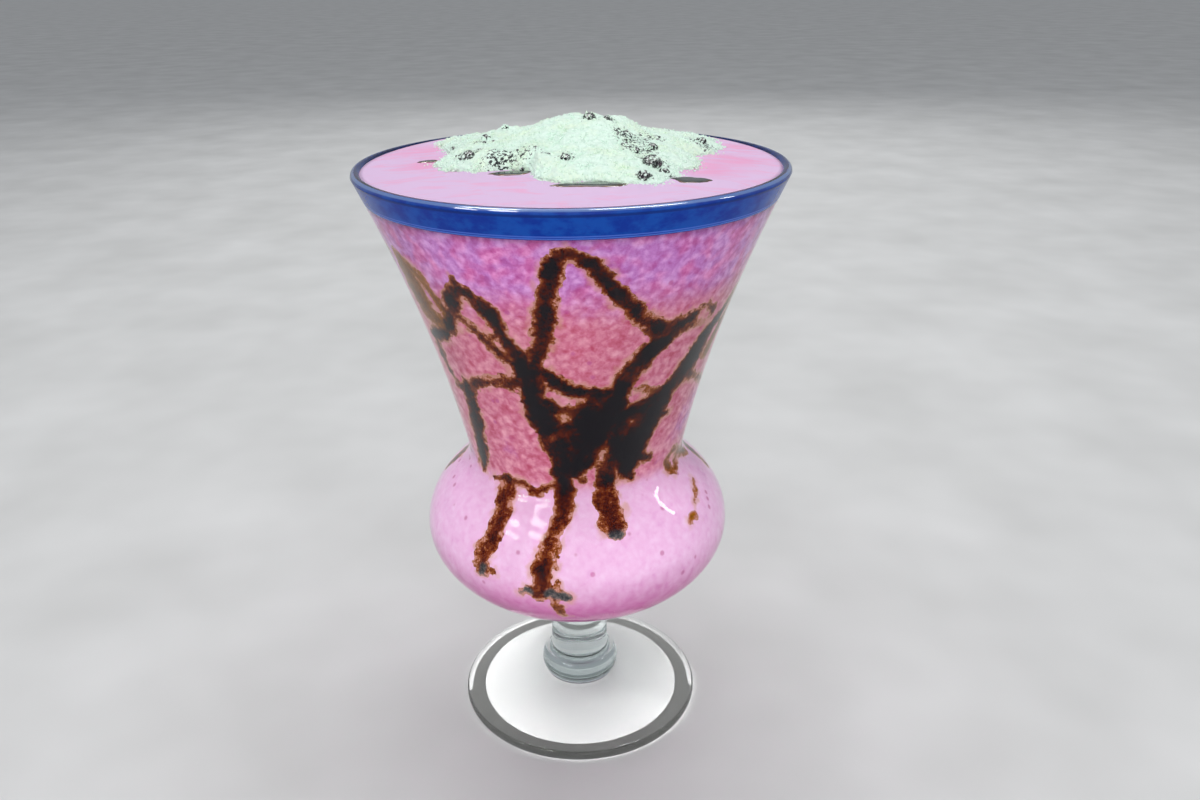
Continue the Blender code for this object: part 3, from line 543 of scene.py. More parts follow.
leftSyrup = (
    {"body": 0.9, "ochre": 0.1, "routes": (
        ((-71, 137, 1.8), (-75, 133, 3.2), (-79, 128, 4), (-83.5, 122, 4.4), (-88, 116, 4.6), (-92, 110, 4.8),
         (-95, 103, 4.8), (-97, 96, 4.4), (-98, 89, 3.8), (-99, 83, 3.2), (-99, 77, 3), (-98, 72, 3.4),
         (-98, 69, 1.8)),
        ((-91, 112, 3.4), (-99, 113.4, 2.8), (-106, 117, 2.8), (-112, 121.6, 2)),
        ((-94.6, 104, 3), (-88, 101, 2.4), (-82, 99.4, 2.2), (-77, 97, 2.4), (-75, 92.6, 2)),
    )},
)
backSyrup = (
    {"body": 0.95, "ochre": 0.05, "routes": (
        ((182, 139.2, 2.6), (176, 139.6, 3.2), (171, 135, 4), (168, 129, 4.2), (165, 123, 4.4),
         (162, 117, 4.4), (160, 111, 5), (161, 106, 6)),
        ((180, 139.5, 2.4), (186, 137, 2.6), (192, 132, 3), (198, 127, 3.4), (205, 123, 4),
         (213, 120.6, 4.4)),
        ((228, 129, 2), (222, 124.6, 3.4), (214, 120, 4.8), (206, 115, 5.2), (199, 110, 5.4), (192, 105, 6),
         (186, 100, 7), (180, 95, 8), (176, 90, 7.6)),
        ((131, 130, 2.4), (137, 129.6, 3.6), (143, 125, 4.2), (148, 120, 4.2), (153, 115, 4.6), (159, 110, 5),
         (165, 104, 7), (171, 98, 8.6), (175, 92, 9), (176, 87, 7), (175, 82, 5.4), (173, 77, 4.8)),
        ((131, 104, 4), (130, 98, 4.6), (128, 92, 4.8), (127, 86, 4.2), (126, 80, 2.4)),
        ((213.4, 119.4, 4), (217, 113, 4.4), (219, 106, 4.2), (220, 99, 3.8), (221, 92, 3.4), (223, 86, 3),
         (224, 81, 1.8)),
    )},
    {"body": 0.55, "ochre": 0.2, "routes": (
        ((173, 77, 4.8), (171, 72, 4), (172, 67, 3.6), (171, 63, 4.2), (170, 60, 2.6)),
        ((161, 108.4, 3), (152, 107, 2), (144, 106.4, 2), (137, 105, 2.6), (131, 102.6, 2.6)),
        ((176, 90, 6), (184, 88, 4.8), (190, 85, 4.4), (193, 80, 4.4), (194, 75, 4.6), (194, 70, 4.2),
         (194, 66.6, 3.2)),
    )},
)

# where the front syrup has run thin and shows brown: (angle, height, radius, how much thinner)
frontThin = (
    (-3.4, 95.9, 4.6, 0.4), (-3.5, 101.6, 3, 0.6), (-8, 89, 3.6, 0.3), (9.2, 105, 3.2, 0.4),
    (28.5, 98, 4, 0.45), (27.9, 104, 2.6, 0.35), (24.3, 112, 2.6, 0.4), (25.4, 127.2, 2.8, 0.75),
    (35.1, 122.4, 2.8, 0.45), (50.3, 124.8, 3, 0.45), (0, 142.6, 4, 0.35), (9, 137.6, 2.6, 0.3),
    (17, 130.6, 2.2, 0.35), (-6.2, 134, 3.6, 0.35), (-9.4, 127, 2.6, 0.3), (-9, 122, 3, 0.4),
    (-37, 132.6, 3, 0.35), (-29, 130, 2.4, 0.35), (-43, 126.5, 2.4, 0.35), (-11, 111.6, 2.4, 0.3),
    (13.6, 90.4, 2.2, 0.9), (15.4, 86, 2.8, 0.7), (-8.9, 107.5, 0.9, 1.2), (-3.6, 100, 0.9, 1.3),
    (-9.4, 94.8, 1.0, 1.3), (6.1, 88.6, 0.9, 1.0), (2, 104, 1.6, 0.5), (43.4, 99.4, 1.2, 0.7),
    (29, 107.6, 1.4, 0.6), (21, 111, 1.2, 0.6), (-20, 118.6, 1.4, 0.5), (20.5, 95, 2, 0.35),
    (-54.5, 92, 2.6, 0.4), (-50.5, 102, 2.4, 0.3), (60, 116.4, 2.6, 0.4), (46, 107.4, 2.4, 0.35),
    (-38, 62.6, 1.8, 0.3), (-35.4, 76.6, 2.6, 0.2), (15.2, 79, 3, 0.15),
)

syrupLook = {
    "angleStep": 0.5, "heightStep": 0.35, "low": 41.45, "high": 151.0,
    "slushInWall": 0.15, "syrupInWall": 0.25, "depth": 1.1, "edge": 0.3, "reach": 7.0, "slip": 0.7,
    "spacing": 0.45, "thinFall": 1.5, "traitBlend": 0.7,
    "ragged": ((0.6, 2.6, 40), (0.55, 1.15, 41), (0.36, 0.6, 42)),  # (height, size, seed)
    "tones": {
        "core": (27, 25, 30), "dark": (66, 20, 14), "red": (100, 36, 18), "rust": (128, 62, 28),
        "orange": (172, 104, 58), "tan": (204, 146, 132), "olive": (164, 100, 8), "darkOlive": (100, 58, 5),
        "ash": (52, 56, 60), "paleAsh": (104, 100, 98),
    },
}
wallAngles = np.radians(np.arange(-180, 180, syrupLook["angleStep"]))
wallHeights = np.arange(syrupLook["low"], syrupLook["high"], syrupLook["heightStep"])
wallFace = wallRadius(wallHeights, glassShape["wall"])
wallArc = np.concatenate(([0], np.cumsum(np.hypot(np.diff(wallFace), np.diff(wallHeights)))))
wallSpots = wallPoints(wallAngles[None, :], wallHeights[:, None], glassShape["wall"])


def strandField(groups):
    # for each spot of the wall: millimetres to the nearest strand's edge, below 0 inside it,
    # and that strand's traits
    shape = (len(wallHeights), len(wallAngles))
    distance = np.full(shape, syrupLook["reach"])
    traits = {key: np.zeros(shape) for key in ("body", "ochre", "ash")}
    for group in groups:
        for route in group["routes"]:
            for angle, routeHeight, width in catmull(route, syrupLook["spacing"]):
                z = routeHeight - syrupLook["slip"]
                radius, arc = np.interp(z, wallHeights, wallFace), np.interp(z, wallHeights, wallArc)
                reach = width / 2 + syrupLook["reach"]
                first, last = np.searchsorted(wallArc, (arc - reach, arc + reach))
                middle = round((angle + 180) / syrupLook["angleStep"])
                side = int(math.degrees(reach / radius) / syrupLook["angleStep"]) + 1
                columns = np.arange(middle - side, middle + side + 1)
                across = np.radians(columns * syrupLook["angleStep"] - 180 - angle) * radius
                along = wallArc[first:last, None] - arc
                near = np.hypot(across[None, :], along) - width / 2
                where = np.ix_(np.arange(first, last), columns % shape[1])
                closer = near < distance[where]
                distance[where] = np.where(closer, near, distance[where])
                for key, values in traits.items():
                    values[where] = np.where(closer, group.get(key, 0), values[where])
    for angle, height, radius, loss in frontThin:
        middle = wallPoints(math.radians(angle), height - syrupLook["slip"], glassShape["wall"])
        far = np.linalg.norm(wallSpots - middle, axis=-1) / radius
        traits["body"] -= loss * np.exp(-syrupLook["thinFall"] * far**2)
    return distance, traits


def spread(mask, reach):
    # a mask of the wall blurred over about reach millimetres
    step = int(reach / syrupLook["heightStep"])
    for _ in range(3):
        for axis in (0, 1):
            edge = [(0, 0), (0, 0)]
            edge[axis] = (step, step)
            total = np.cumsum(np.pad(mask, edge, mode="wrap" if axis else "edge"), axis=axis)
            late, early = [slice(None)] * 2, [slice(None)] * 2
            late[axis], early[axis] = slice(2 * step, None), slice(None, -2 * step)
            mask = (total[tuple(late)] - total[tuple(early)]) / (2 * step)
    return mask


def raggedEdge(distance):
    return roughened(distance, wallSpots, *syrupLook["ragged"])


def syrupSheet(name, groups, material, nodes):
    # a sheet between the glass and the drink, cut out of the wall's grid along the strands' edge
    look = syrupLook
    smooth, traits = strandField(groups)
    # traits blend into one another
    traits = {key: spread(values, look["traitBlend"]) for key, values in traits.items()}
    distance = raggedEdge(smooth)
    columns = distance.shape[1]
    inside = distance < look["edge"]
    right = np.roll(inside, -1, axis=1)
    cells = (inside | right)[:-1] | (inside | right)[1:]
    # points outside the edge slide back onto it
    slideAngle = (np.roll(distance, -1, 1) - np.roll(distance, 1, 1)) / (2 * math.radians(look["angleStep"]))
    slideAngle /= wallFace[:, None]
    slideUp = np.gradient(distance, wallArc, axis=0)
    steep = np.maximum(slideAngle**2 + slideUp**2, 0.15)
    over = np.clip(distance - look["edge"], 0, 0.5)
    angle = wallAngles[None, :] - over * slideAngle / steep / wallFace[:, None]
    climb = np.gradient(wallHeights, wallArc)[:, None]
    height = np.clip(wallHeights[:, None] - over * slideUp / steep * climb, look["low"], look["high"])
    wall = glassShape["wall"]
    front = wallPoints(angle, height, wall - look["syrupInWall"]).reshape(-1, 3)
    back = wallPoints(angle, height, wall + look["depth"]).reshape(-1, 3)
    # corners of the kept cells, and which of their sides are free
    row, column = np.nonzero(cells)
    after = (column + 1) % columns
    below, above = row * columns, (row + 1) * columns
    quads = np.stack((below + column, below + after, above + after, above + column), -1)
    padded = np.vstack((np.zeros((1, columns), bool), cells, np.zeros((1, columns), bool)))
    free = (~padded[row, column], ~cells[row, after], ~padded[row + 2, column], ~cells[row, column - 1])
    used, renumbered = np.unique(quads, return_inverse=True)
    quads = renumbered.reshape(quads.shape)
    count = len(used)
    faces = [quads, quads[:, ::-1] + count]
    for side, bare in enumerate(free):
        a, b = quads[bare, side], quads[bare, (side + 1) % 4]
        faces.append(np.stack((b, a, a + count, b + count), -1))
    stored = {}
    for key, values in {"edge": np.minimum(distance, look["edge"]), **traits}.items():
        stored[key] = np.tile(values.reshape(-1)[used], 2)
    points = np.vstack((front[used], back[used]))
    piece = addPiece(name, points, np.vstack(faces).tolist(), material, stored)
    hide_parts(*nodes)
    return smooth


def chocolateOnWall():
    # thick syrup is nearly black; where it thins towards its edge it turns red-brown, then orange
    finish = Finish("chocolateOnWall")
    spot = finish.place()
    broad = finish.noise(spot, 4.2, detail=2)
    froth = finish.noise(finish.warped(spot, 2, 0.4), 1.1, detail=4, roughness=0.65)
    fine = finish.noise(spot, 0.4, detail=2)
    swell = finish.fade(finish.stored("edge"), 0.4, -1.4)
    body = finish.stored("body")
    pooled = finish.fade(finish.stored("edge"), -1.1, -3)  # deepest where strands have run together
    thick = swell * (0.06 + 0.8 * body) + 0.34 * pooled * body
    thick = thick + 0.9 * (broad - 0.5) + 1.2 * (froth - 0.5) + 0.9 * (fine - 0.5)

    def deepening(**steps):
        # from the thin edge to the thick middle
        tones = syrupLook["tones"]
        return finish.ramp(thick, [(place, paint(*tones[key])) for key, place in steps.items()])

    chocolate = deepening(tan=0, orange=0.1, rust=0.24, red=0.44, dark=0.66, core=0.88)
    thinned = deepening(tan=0, orange=0.1, olive=0.22, darkOlive=0.85)
    # painted sheen: slate greys standing in for light reflected off the syrup
    sheenTones = deepening(tan=0, paleAsh=0.3, ash=0.7)
    colour = finish.blend(finish.fade(finish.stored("ochre"), 0.1, 0.9), chocolate, thinned)
    colour = finish.blend(finish.fade(finish.stored("ash"), 0.2, 0.8), colour, sheenTones)
    return finish.close({
        "Base Color": colour, "Roughness": 0.5 + 0.2 * froth, "Specular IOR Level": 0.01,
        "Normal": finish.bump(froth, 0.1),
    })


# the frozen drink
slush = {
    "brim": 151.0, "reach": 48.0, "dome": 1.7, "backLift": 0.9, "thin": 2, "topRings": 46,
    "tones": {
        # the tones by height are partly painted light and shade: the bulb's paler on its upturned top, the
        # bottom's deeper beneath
        "lilac": (206, 132, 208), "lilacDeep": (188, 95, 175), "lilacPale": (238, 181, 238),
        "upper": (221, 117, 186), "upperDeep": (200, 83, 154), "upperPale": (248, 170, 224),
        "panel": (220, 127, 156), "panelDeep": (202, 87, 117), "panelPale": (244, 178, 198),
        "bulb": (246, 196, 234), "bulbDeep": (239, 177, 226), "bulbPale": (252, 214, 244),
        "bottom": (200, 74, 158), "halo": (222, 172, 154), "spot": (198, 86, 152),
        "top": (228, 196, 230), "topPink": (240, 170, 208), "blush": (238, 166, 206),
    },
    # where fruit shows on the open top: (x, y, radius)
    "fruit": ((30, -14, 12), (38, -2, 12), (41, 14, 10), (-33, -6, 9), (-35, 12, 12), (0, 44, 12)),
}


def slushTop(x, y):
    reach = np.minimum(1, np.hypot(x, y) / slush["reach"])
    lift = slush["backLift"] * np.clip(y / slush["reach"], 0, None) ** 1.5
    return slush["brim"] + slush["dome"] * (1 - reach**2.2) + lift


def pinkSlush():
    finish = Finish("pinkSlush")
    spot = finish.place()
    tones = {key: paint(*value) for key, value in slush["tones"].items()}
    height = finish.node("SeparateXYZ", sockets={0: spot}, output=2)
    soft = finish.noise(spot, 3.4, detail=3, roughness=0.6, warp=0.4)
    icy = finish.noise(spot, 0.9, detail=4, roughness=0.7, warp=0.6)
    grain = finish.noise(spot, 0.5, detail=3)
    packed = finish.noise(finish.warped(spot, 1.6, 0.5), 1.7, detail=2, roughness=0.5, warp=0.2)
    wave = soft - 0.5
    crystals = finish.cells(finish.warped(spot, 1.1, 0.5), 1.9)
    lit = 0.6 * packed + 0.35 * icy + 0.4 * wave + 0.26 * (0.45 - crystals) + 0.07

    def lumpy(tone, deep, middle, pale):
        # pale lumps with deeper gaps
        stops = (deep, tones[tone + "Deep"]), (middle, tones[tone]), (pale, tones[tone + "Pale"])
        return finish.ramp(lit, stops)

    # packed ice above the waist, rosier where chocolate surrounds it
    pink = lumpy("upper", 0.3, 0.5, 0.76)
    lilac = lumpy("lilac", 0.3, 0.48, 0.72)
    mottled = finish.noise(finish.warped(spot, 3, 1), 5, detail=1)
    upper = finish.blend(finish.fade(mottled, 0.3, 0.62), pink, lilac)
    panel = lumpy("panel", 0.3, 0.5, 0.76)
    stained = finish.fade(finish.stored("stain") + 0.2 * wave, 0.03, 0.2)
    stained = stained * finish.fade(height + 9 * wave, 136, 123)
    colour = finish.blend(stained, upper, panel)
    # smooth and pale in the bulb, the paleness partly painted light on its upturned top; deeper at its
    # bottom, which is painted shade
    pale = lumpy("bulb", 0.22, 0.42, 0.8)
    colour = finish.blend(finish.fade(height + 3 * wave, 81, 76), colour, pale)
    colour = finish.blend(finish.fade(height + 6 * wave, 62, 45), colour, tones["bottom"])
    # a few magenta dots, where the fruit has gathered
    dots = finish.cells(spot, 4.2)
    some = finish.node("SeparateColor", sockets={0: finish.cells(spot, 4.2, "Color")}, output=0)
    dot = finish.fade(dots, 0.2, 0.08) * finish.fade(some, 0.55, 0.65) * 0.6
    colour = finish.blend(dot, colour, tones["spot"])
    # tan where the chocolate bleeds into it
    bleed = finish.fade(finish.stored("near") + 3 * wave, 1.8, 0.2) * finish.fade(icy, 0.25, 0.45)
    colour = finish.blend(bleed * finish.fade(mottled, 0.56, 0.4) * 0.7, colour, tones["halo"])
    # the open top: creamy, with pinker streaks
    streak = finish.noise(finish.stretched(spot, 0.5, 1.4, 1), 7, detail=3, warp=1.2)
    cream = finish.blend(finish.fade(streak, 0.5, 0.72) * 0.6, tones["top"], tones["topPink"])
    blush = finish.stored("fruit") * finish.fade(streak + 0.3 * wave, 0.3, 0.55)
    cream = finish.blend(blush, cream, tones["blush"])
    colour = finish.blend(finish.stored("open"), colour, cream)
    return finish.close({
        "Base Color": colour, "Roughness": 0.5 + 0.1 * icy, "Specular IOR Level": 0.04,
        "Normal": finish.bump(icy + 0.5 * grain, 0.1, 0.6),
    })


def makeSlush(near, stain):
    # the wall's grid, thinned, with a floor below and a domed top
    thin = slush["thin"]
    inwards = glassShape["wall"] - syrupLook["slushInWall"]
    angles, heights = wallAngles[::thin], wallHeights[::thin]
    segments = len(angles)
    side = wallPoints(angles[None, :], heights[:, None], inwards)
    floorRadius, floorHeight = floorCurve(inwards, 14)
    floor = roundAxis(floorRadius[:-1, None], angles, floorHeight[:-1, None])[:0:-1]
    shares = np.linspace(1, 0, slush["topRings"] + 1)[:-1, None]
    brimRadius = wallRadius(slush["brim"], inwards) * shares
    x, y = brimRadius * np.sin(angles), -brimRadius * np.cos(angles)
    top = np.stack((x, y, slushTop(x, y)), -1)
    relief = roughened(0, top, (0.16, 9, 5), (0.07, 2.6, 6), (0.03, 1.1, 7))
    top[..., 2] += relief * np.clip((1 - shares) * 12, 0, 1)
    rings = np.concatenate((floor, side, top))
    points, faces = cappedRings(rings, (0, 0, floorHeight[-1]), (0, 0, float(slushTop(0, 0))))
    under, over = len(floor) * segments, len(top) * segments
    stored = {}
    for key, values, rest in (("near", near, 6), ("stain", stain, 0)):
        onWall = values[::thin, ::thin].reshape(-1)
        stored[key] = np.concatenate((np.full(under, rest), onWall, np.full(over + 2, rest)))
    stored["open"] = np.concatenate((np.zeros(under + len(side) * segments), np.ones(over), (0, 1)))
    fruit = np.zeros(len(points))
    for fruitX, fruitY, reach in slush["fruit"]:
        fruit = np.maximum(fruit, 1 - np.hypot(points[:, 0] - fruitX, points[:, 1] - fruitY) / reach)
    stored["fruit"] = np.minimum(0.8, 1.1 * fruit)
    piece = addPiece("frozenDrink", points, faces, pinkSlush(), stored)
    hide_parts("slush")


# pools of syrup that lie on top
pools = {
    # (x, y, half the length, half the width, degrees turned)
    "places": {
        "syrup_pool_right": (25.5, -26.0, 4.5, 2.7, -4),
        "syrup_pool_front": (4.5, -30.6, 8.2, 2.1, 2),
        "syrup_pool_left": (-12.8, -18.8, 4.9, 2.2, 4),
        "syrup_pool_outer": (-33.4, -1.0, 2.4, 1.2, 4),
    },
    "sides": 72, "rings": 10, "proud": 0.36, "sunk": 0.7,
    "colour": (34, 46, 41), "cloud": (44, 56, 50), "rim": (116, 72, 32),
}


def glossySyrup():
    finish = Finish("glossySyrup")
    spot = finish.place()
    cloudy = finish.noise(spot, 1.6, detail=3)
    share = finish.fade(cloudy, 0.45, 0.7) * 0.4
    colour = finish.blend(share, paint(*pools["colour"]), paint(*pools["cloud"]))
    thin = finish.fade(finish.stored("rim") + 0.5 * (cloudy - 0.5), 0.72, 1.05)
    colour = finish.blend(thin, colour, paint(*pools["rim"]))
    return finish.close({
        "Base Color": colour, "Roughness": 0.09 + 0.1 * cloudy, "Coat Weight": 0.5, "Coat Roughness": 0.05,
        "Normal": finish.bump(cloudy, 0.05),
    })


def makePool(node, x, y, longHalf, shortHalf, turn, material):
    sides, proud, sunk = pools["sides"], pools["proud"], pools["sunk"]
    angle = fullTurn(sides)
    wobble = 1 + 0.09 * np.sin(3 * angle + x) + 0.05 * np.sin(5 * angle + y) + 0.03 * np.sin(9 * angle + x)
    shares = np.linspace(1, 0.1, pools["rings"])[:, None]
    u, v = longHalf * wobble * shares * np.cos(angle), shortHalf * wobble * shares * np.sin(angle)
    c, s = math.cos(math.radians(turn)), math.sin(math.radians(turn))
    px, py = x + c * u - s * v, y + s * u + c * v
    top = np.stack((px, py, slushTop(px, py) + proud * (1 - shares**6)), -1)
    rings = np.concatenate((top[:1] - (0, 0, sunk), top))
    middle = float(slushTop(x, y))
    points, faces = cappedRings(rings, (x, y, middle - sunk), (x, y, middle + proud))
    rim = np.concatenate((np.ones(sides), np.repeat(shares[:, 0], sides), (1, 0)))
    piece = addPiece(node.replace("syrup_", ""), points, faces, material, {"rim": rim})
    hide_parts(node)


# the milk powder heap
# outline is (degrees, radius) round centre; mounds and wet patches are (x, y, radius, height or strength)
powder = {
    "centre": (-1.0, 1.0),
    "outline": ((0, 31), (10, 35), (25, 43), (48, 45), (75, 42), (105, 42), (128, 43.5), (151, 38),
                (162, 30.5), (176, 27.5), (190, 31), (204, 29), (219, 27), (232, 20.5), (246, 20.5),
                (259, 27.5), (278, 29), (295, 34.5), (312, 34.5), (328, 31), (345, 31)),
    "mounds": ((3, 7, 13, 3.7), (0, 4, 26, 2.8), (-5, 8, 5, 0.3), (12, 8, 4, 0.7), (-15.5, 13, 3.4, 0.8),
               (-24, 16, 12, 0.8), (25, 14, 12, 0.8), (6, -16, 12, 0.8), (-15, -10, 10, 0.8)),
    "shoulder": 3.6, "skirt": 1.1, "thinEdge": 0.1, "edgeShare": 0.16, "sides": 460, "rings": 120,
    "wet": ((-15, -14, 6, 0.8), (-10, -13.5, 5, 0.6), (-5, -15.5, 3, 0.5), (14, -3, 5.5, 0.9),
            (15.5, -10, 5, 0.9), (18.5, -17, 4.5, 0.9), (-23, -9.6, 4, 0.9), (19.5, 2, 4, 0.7),
            (32, 9, 5.5, 0.8), (-21, 3, 4, 0.5), (9, 3.8, 2.6, 0.8), (4.4, 3.4, 2.6, 0.8),
            (-1.1, -18.4, 3, 0.75), (16, -27, 2.6, 0.8), (22, -25, 3, 0.7), (-30, 10, 3, 0.6),
            (8, 33, 5, 0.9), (-11, 35, 5, 0.8), (27, 30, 5, 0.8), (1, 27, 3.5, 0.8)),
    "lift": 0.15, "under": 0.35, "settled": 0.26, "wetReach": 1.25,
    "white": (230, 250, 237), "shade": (216, 240, 225), "warm": (230, 248, 226), "damp": (38, 46, 44),
}


def powderReach(angle):
    degrees = np.degrees(angle) % 360
    marks = np.array(powder["outline"], float)
    marks = np.vstack((marks[-2:] - (360, 0), marks, marks[:2] + (360, 0)))
    slot = np.searchsorted(marks[:, 0], degrees, side="right") - 1
    a, b, c, d = (marks[np.clip(slot + k, 0, len(marks) - 1), 1] for k in (-1, 0, 1, 2))
    t = (degrees - marks[slot, 0]) / (marks[slot + 1, 0] - marks[slot, 0])
    return curveThrough(a, b, c, d, t) * (1 + 0.03 * np.sin(11 * angle) + 0.02 * np.sin(23 * angle))


def onHeap(angle, radius):
    x, y = powder["centre"]
    return x + radius * np.cos(angle), y + radius * np.sin(angle)


def powderThickness(x, y):
    angle = np.arctan2(y - powder["centre"][1], x - powder["centre"][0])
    share = np.hypot(x - powder["centre"][0], y - powder["centre"][1]) / powderReach(angle)
    thickness = powder["skirt"] + 0 * x
    for moundX, moundY, radius, height in powder["mounds"]:
        far = np.hypot(x - moundX, y - moundY) / radius
        thickness = thickness + height * np.exp(-(far ** powder["shoulder"]))
    flat = np.stack((x, y, 0 * x), -1)
    thickness = roughened(thickness, flat, (0.4, 4.5, 11), (0.3, 2.2, 12))
    fall = np.clip((1 - share) / powder["edgeShare"], 0, 1)
    return (powder["thinEdge"] + thickness * np.sqrt(fall)) * (share < 1)


def powderTop(x, y):
    return slushTop(x, y) + powder["lift"] + powderThickness(x, y)


def milkPowder():
    finish = Finish("milkPowder")
    spot = finish.place()
    tones = {key: paint(*powder[key]) for key in ("white", "shade", "warm", "damp")}
    soft = finish.noise(spot, 6, detail=3)
    grain = finish.noise(spot, 0.55, detail=4, roughness=0.75)
    clumps = finish.cells(spot, 0.8)
    colour = finish.blend(finish.fade(soft, 0.4, 0.7), tones["white"], tones["warm"])
    # painted shade in the gaps between the clumps, where the bump sinks
    colour = finish.blend(finish.fade(clumps, 0.35, 0.75) * 0.5, colour, tones["shade"])
    # syrup soaked up between the grains shows as dark specks
    speck = finish.noise(spot, 0.75, detail=2, roughness=0.7)
    soaked = finish.fade(speck + 0.3 * finish.stored("wet"), 0.68, 0.73)
    colour = finish.blend(soaked * finish.fade(finish.stored("wet"), 0.12, 0.4), colour, tones["damp"])
    return finish.close({
        "Base Color": colour, "Roughness": 0.9 - 0.5 * soaked, "Specular IOR Level": 0.2,
        "Normal": finish.bump(grain + 0.6 * (1 - clumps), 0.16),
    })


def makePowder(material):
    sides, rings = powder["sides"], powder["rings"]
    angle = fullTurn(sides)
    circle = np.stack((np.cos(angle), np.sin(angle), 0 * angle), -1)
    jagged = roughened(1, circle * 30, (0.022, 1.6, 21), (0.014, 0.7, 22))
    shares = np.linspace(1, 0, rings + 1)[:-1, None] ** 0.9
    x, y = onHeap(angle, powderReach(angle) * jagged * shares * 0.998)
    z = powderTop(x, y)
    flat = np.stack((x, y, z), -1)
    clumpy = roughened(np.abs(lumps(flat, 1.5, 31)) * 0.55, flat, (0.16, 0.75, 32), (0.07, 0.4, 33))
    z = z + clumpy * np.clip((1 - shares) * 14, 0.15, 1) - powder["settled"]
    top = np.stack((x, y, z), -1)
    under = top[:1].copy()
    under[..., 2] = slushTop(x[:1], y[:1]) - powder["under"]
    low = (*powder["centre"], float(slushTop(*powder["centre"])) - powder["under"])
    high = (*powder["centre"], float(z[-1].mean()))
    points, faces = cappedRings(np.concatenate((under, top)), low, high)
    wet = np.zeros(len(points))
    for wetX, wetY, reach, strength in powder["wet"]:
        far = np.hypot(points[:, 0] - wetX, points[:, 1] - wetY) / reach
        wet = np.maximum(wet, strength * np.clip(powder["wetReach"] - far, 0, 1))
    piece = addPiece("milkPowderHeap", points, faces, material, {"wet": wet})
    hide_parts("milk_powder")


# syrup drops on the powder, and loose grains over everything
drops = {
    # (x, y, radius)
    "large": ((15.4, -28.2, 1.4), (17.7, -19.0, 2.1), (20.0, -22.4, 1.1), (18.5, -7.1, 1.3),
              (14.6, -12.6, 1.1), (-1.1, -19.4, 1.2), (-22.7, -11.6, 1.5), (-20.2, 5.7, 1.1),
              (-16.0, 11.4, 0.9), (4.4, 4.0, 1.5), (8.7, 4.2, 1.1), (31.9, 10.9, 1.1)),
    "small": 46, "smallRadius": (0.3, 0.65), "smallBelow": 0.8, "seed": 8,
    "sunk": 0.25, "raised": 0.15, "flattened": 0.85, "syrup": (22, 22, 22), "dust": (214, 232, 220),
}
grains = {
    "onHeap": 4200, "beside": 1500, "onDrops": 16, "size": (0.16, 0.42), "seed": 3,
    "sunk": 0.12, "farthest": 47.5,
}


def ballMesh(level):
    # a unit ball with even triangles
    bm = bmesh.new()
    bmesh.ops.create_icosphere(bm, subdivisions=level, radius=1)
    points = np.array([vertex.co[:] for vertex in bm.verts])
    faces = np.array([[vertex.index for vertex in face.verts] for face in bm.faces])
    bm.free()
    return points, faces


def dropPlaces():
    draw = np.random.default_rng(drops["seed"])
    places = list(drops["large"])
    wet = powder["wet"]
    for _ in range(drops["small"]):
        x, y, reach, _strength = wet[draw.integers(len(wet))]
        far, angle = reach * math.sqrt(draw.uniform()), draw.uniform(0, 2 * math.pi)
        radius = draw.uniform(*drops["smallRadius"])
        places.append((x + far * math.cos(angle), y + far * math.sin(angle), radius))
    return [place for place in places if powderThickness(np.array(place[0]), np.array(place[1])) > 0.2]


def dropMiddle(x, y, radius):
    return float(powderTop(np.array(x), np.array(y))) - drops["sunk"] + drops["raised"] * radius


def makeDrops(places, material):
    ball, triangles = ballMesh(4)
    small, smallTriangles = ballMesh(2)
    points, faces, count = [], [], 0
    for i, (x, y, radius) in enumerate(places):
        shape, pattern = (ball, triangles) if radius > drops["smallBelow"] else (small, smallTriangles)
        bumpy = roughened(1, shape * 2 + i * 5, (0.1, 1.2, 51), (0.05, 0.5, 52))
        squashed = shape * bumpy[:, None] * radius * (1, 1, drops["flattened"])
        points.append(squashed + (x, y, dropMiddle(x, y, radius)))
        faces.append(pattern + count)
        count += len(shape)
    faces = [face for part in faces for face in part.tolist()]
    piece = addPiece("syrupDrops", np.vstack(points), faces, material)
    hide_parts("milk_powder")


def dustedSyrup():
    # glossy syrup with powder stuck to it in flecks
    finish = Finish("dustedSyrup")
    spot = finish.place()
    fleck = finish.noise(spot, 0.42, detail=3, roughness=0.7)
    dust = finish.fade(fleck, 0.56, 0.6)
    colour = finish.blend(dust, paint(*drops["syrup"]), paint(*drops["dust"]))
    return finish.close({
        "Base Color": colour, "Roughness": 0.14 + 0.6 * dust, "Coat Weight": 0.4 - 0.4 * dust,
        "Normal": finish.bump(fleck, 0.08),
    })


def grainPlaces(dropSpots):
    draw = np.random.default_rng(grains["seed"])
    angle = draw.uniform(0, 2 * math.pi, grains["onHeap"])
    share = np.sqrt(draw.uniform(0, 1, grains["onHeap"]))
    besideAngle = draw.uniform(0, 2 * math.pi, grains["beside"])
    besideShare = 1 + 0.018 * draw.standard_exponential(grains["beside"]) - 0.01
    angle, share = np.concatenate((angle, besideAngle)), np.concatenate((share, besideShare))
    x, y = onHeap(angle, powderReach(angle) * share)
    keep = np.hypot(x, y) < grains["farthest"]
    x, y = x[keep], y[keep]
    z = np.where(powderThickness(x, y) > 0, powderTop(x, y) - grains["sunk"], slushTop(x, y))
    spots = [np.stack((x, y, z), -1)]
    for dropX, dropY, radius in dropSpots:
        if radius > drops["smallBelow"]:
            around = draw.normal(size=(grains["onDrops"], 3)) * (1, 1, 0.7) + (0, 0, 0.5)
            around *= radius / np.linalg.norm(around, axis=1)[:, None]
            squashed = around * (1, 1, drops["flattened"])
            spots.append(squashed + (dropX, dropY, dropMiddle(dropX, dropY, radius)))
    return np.vstack(spots)


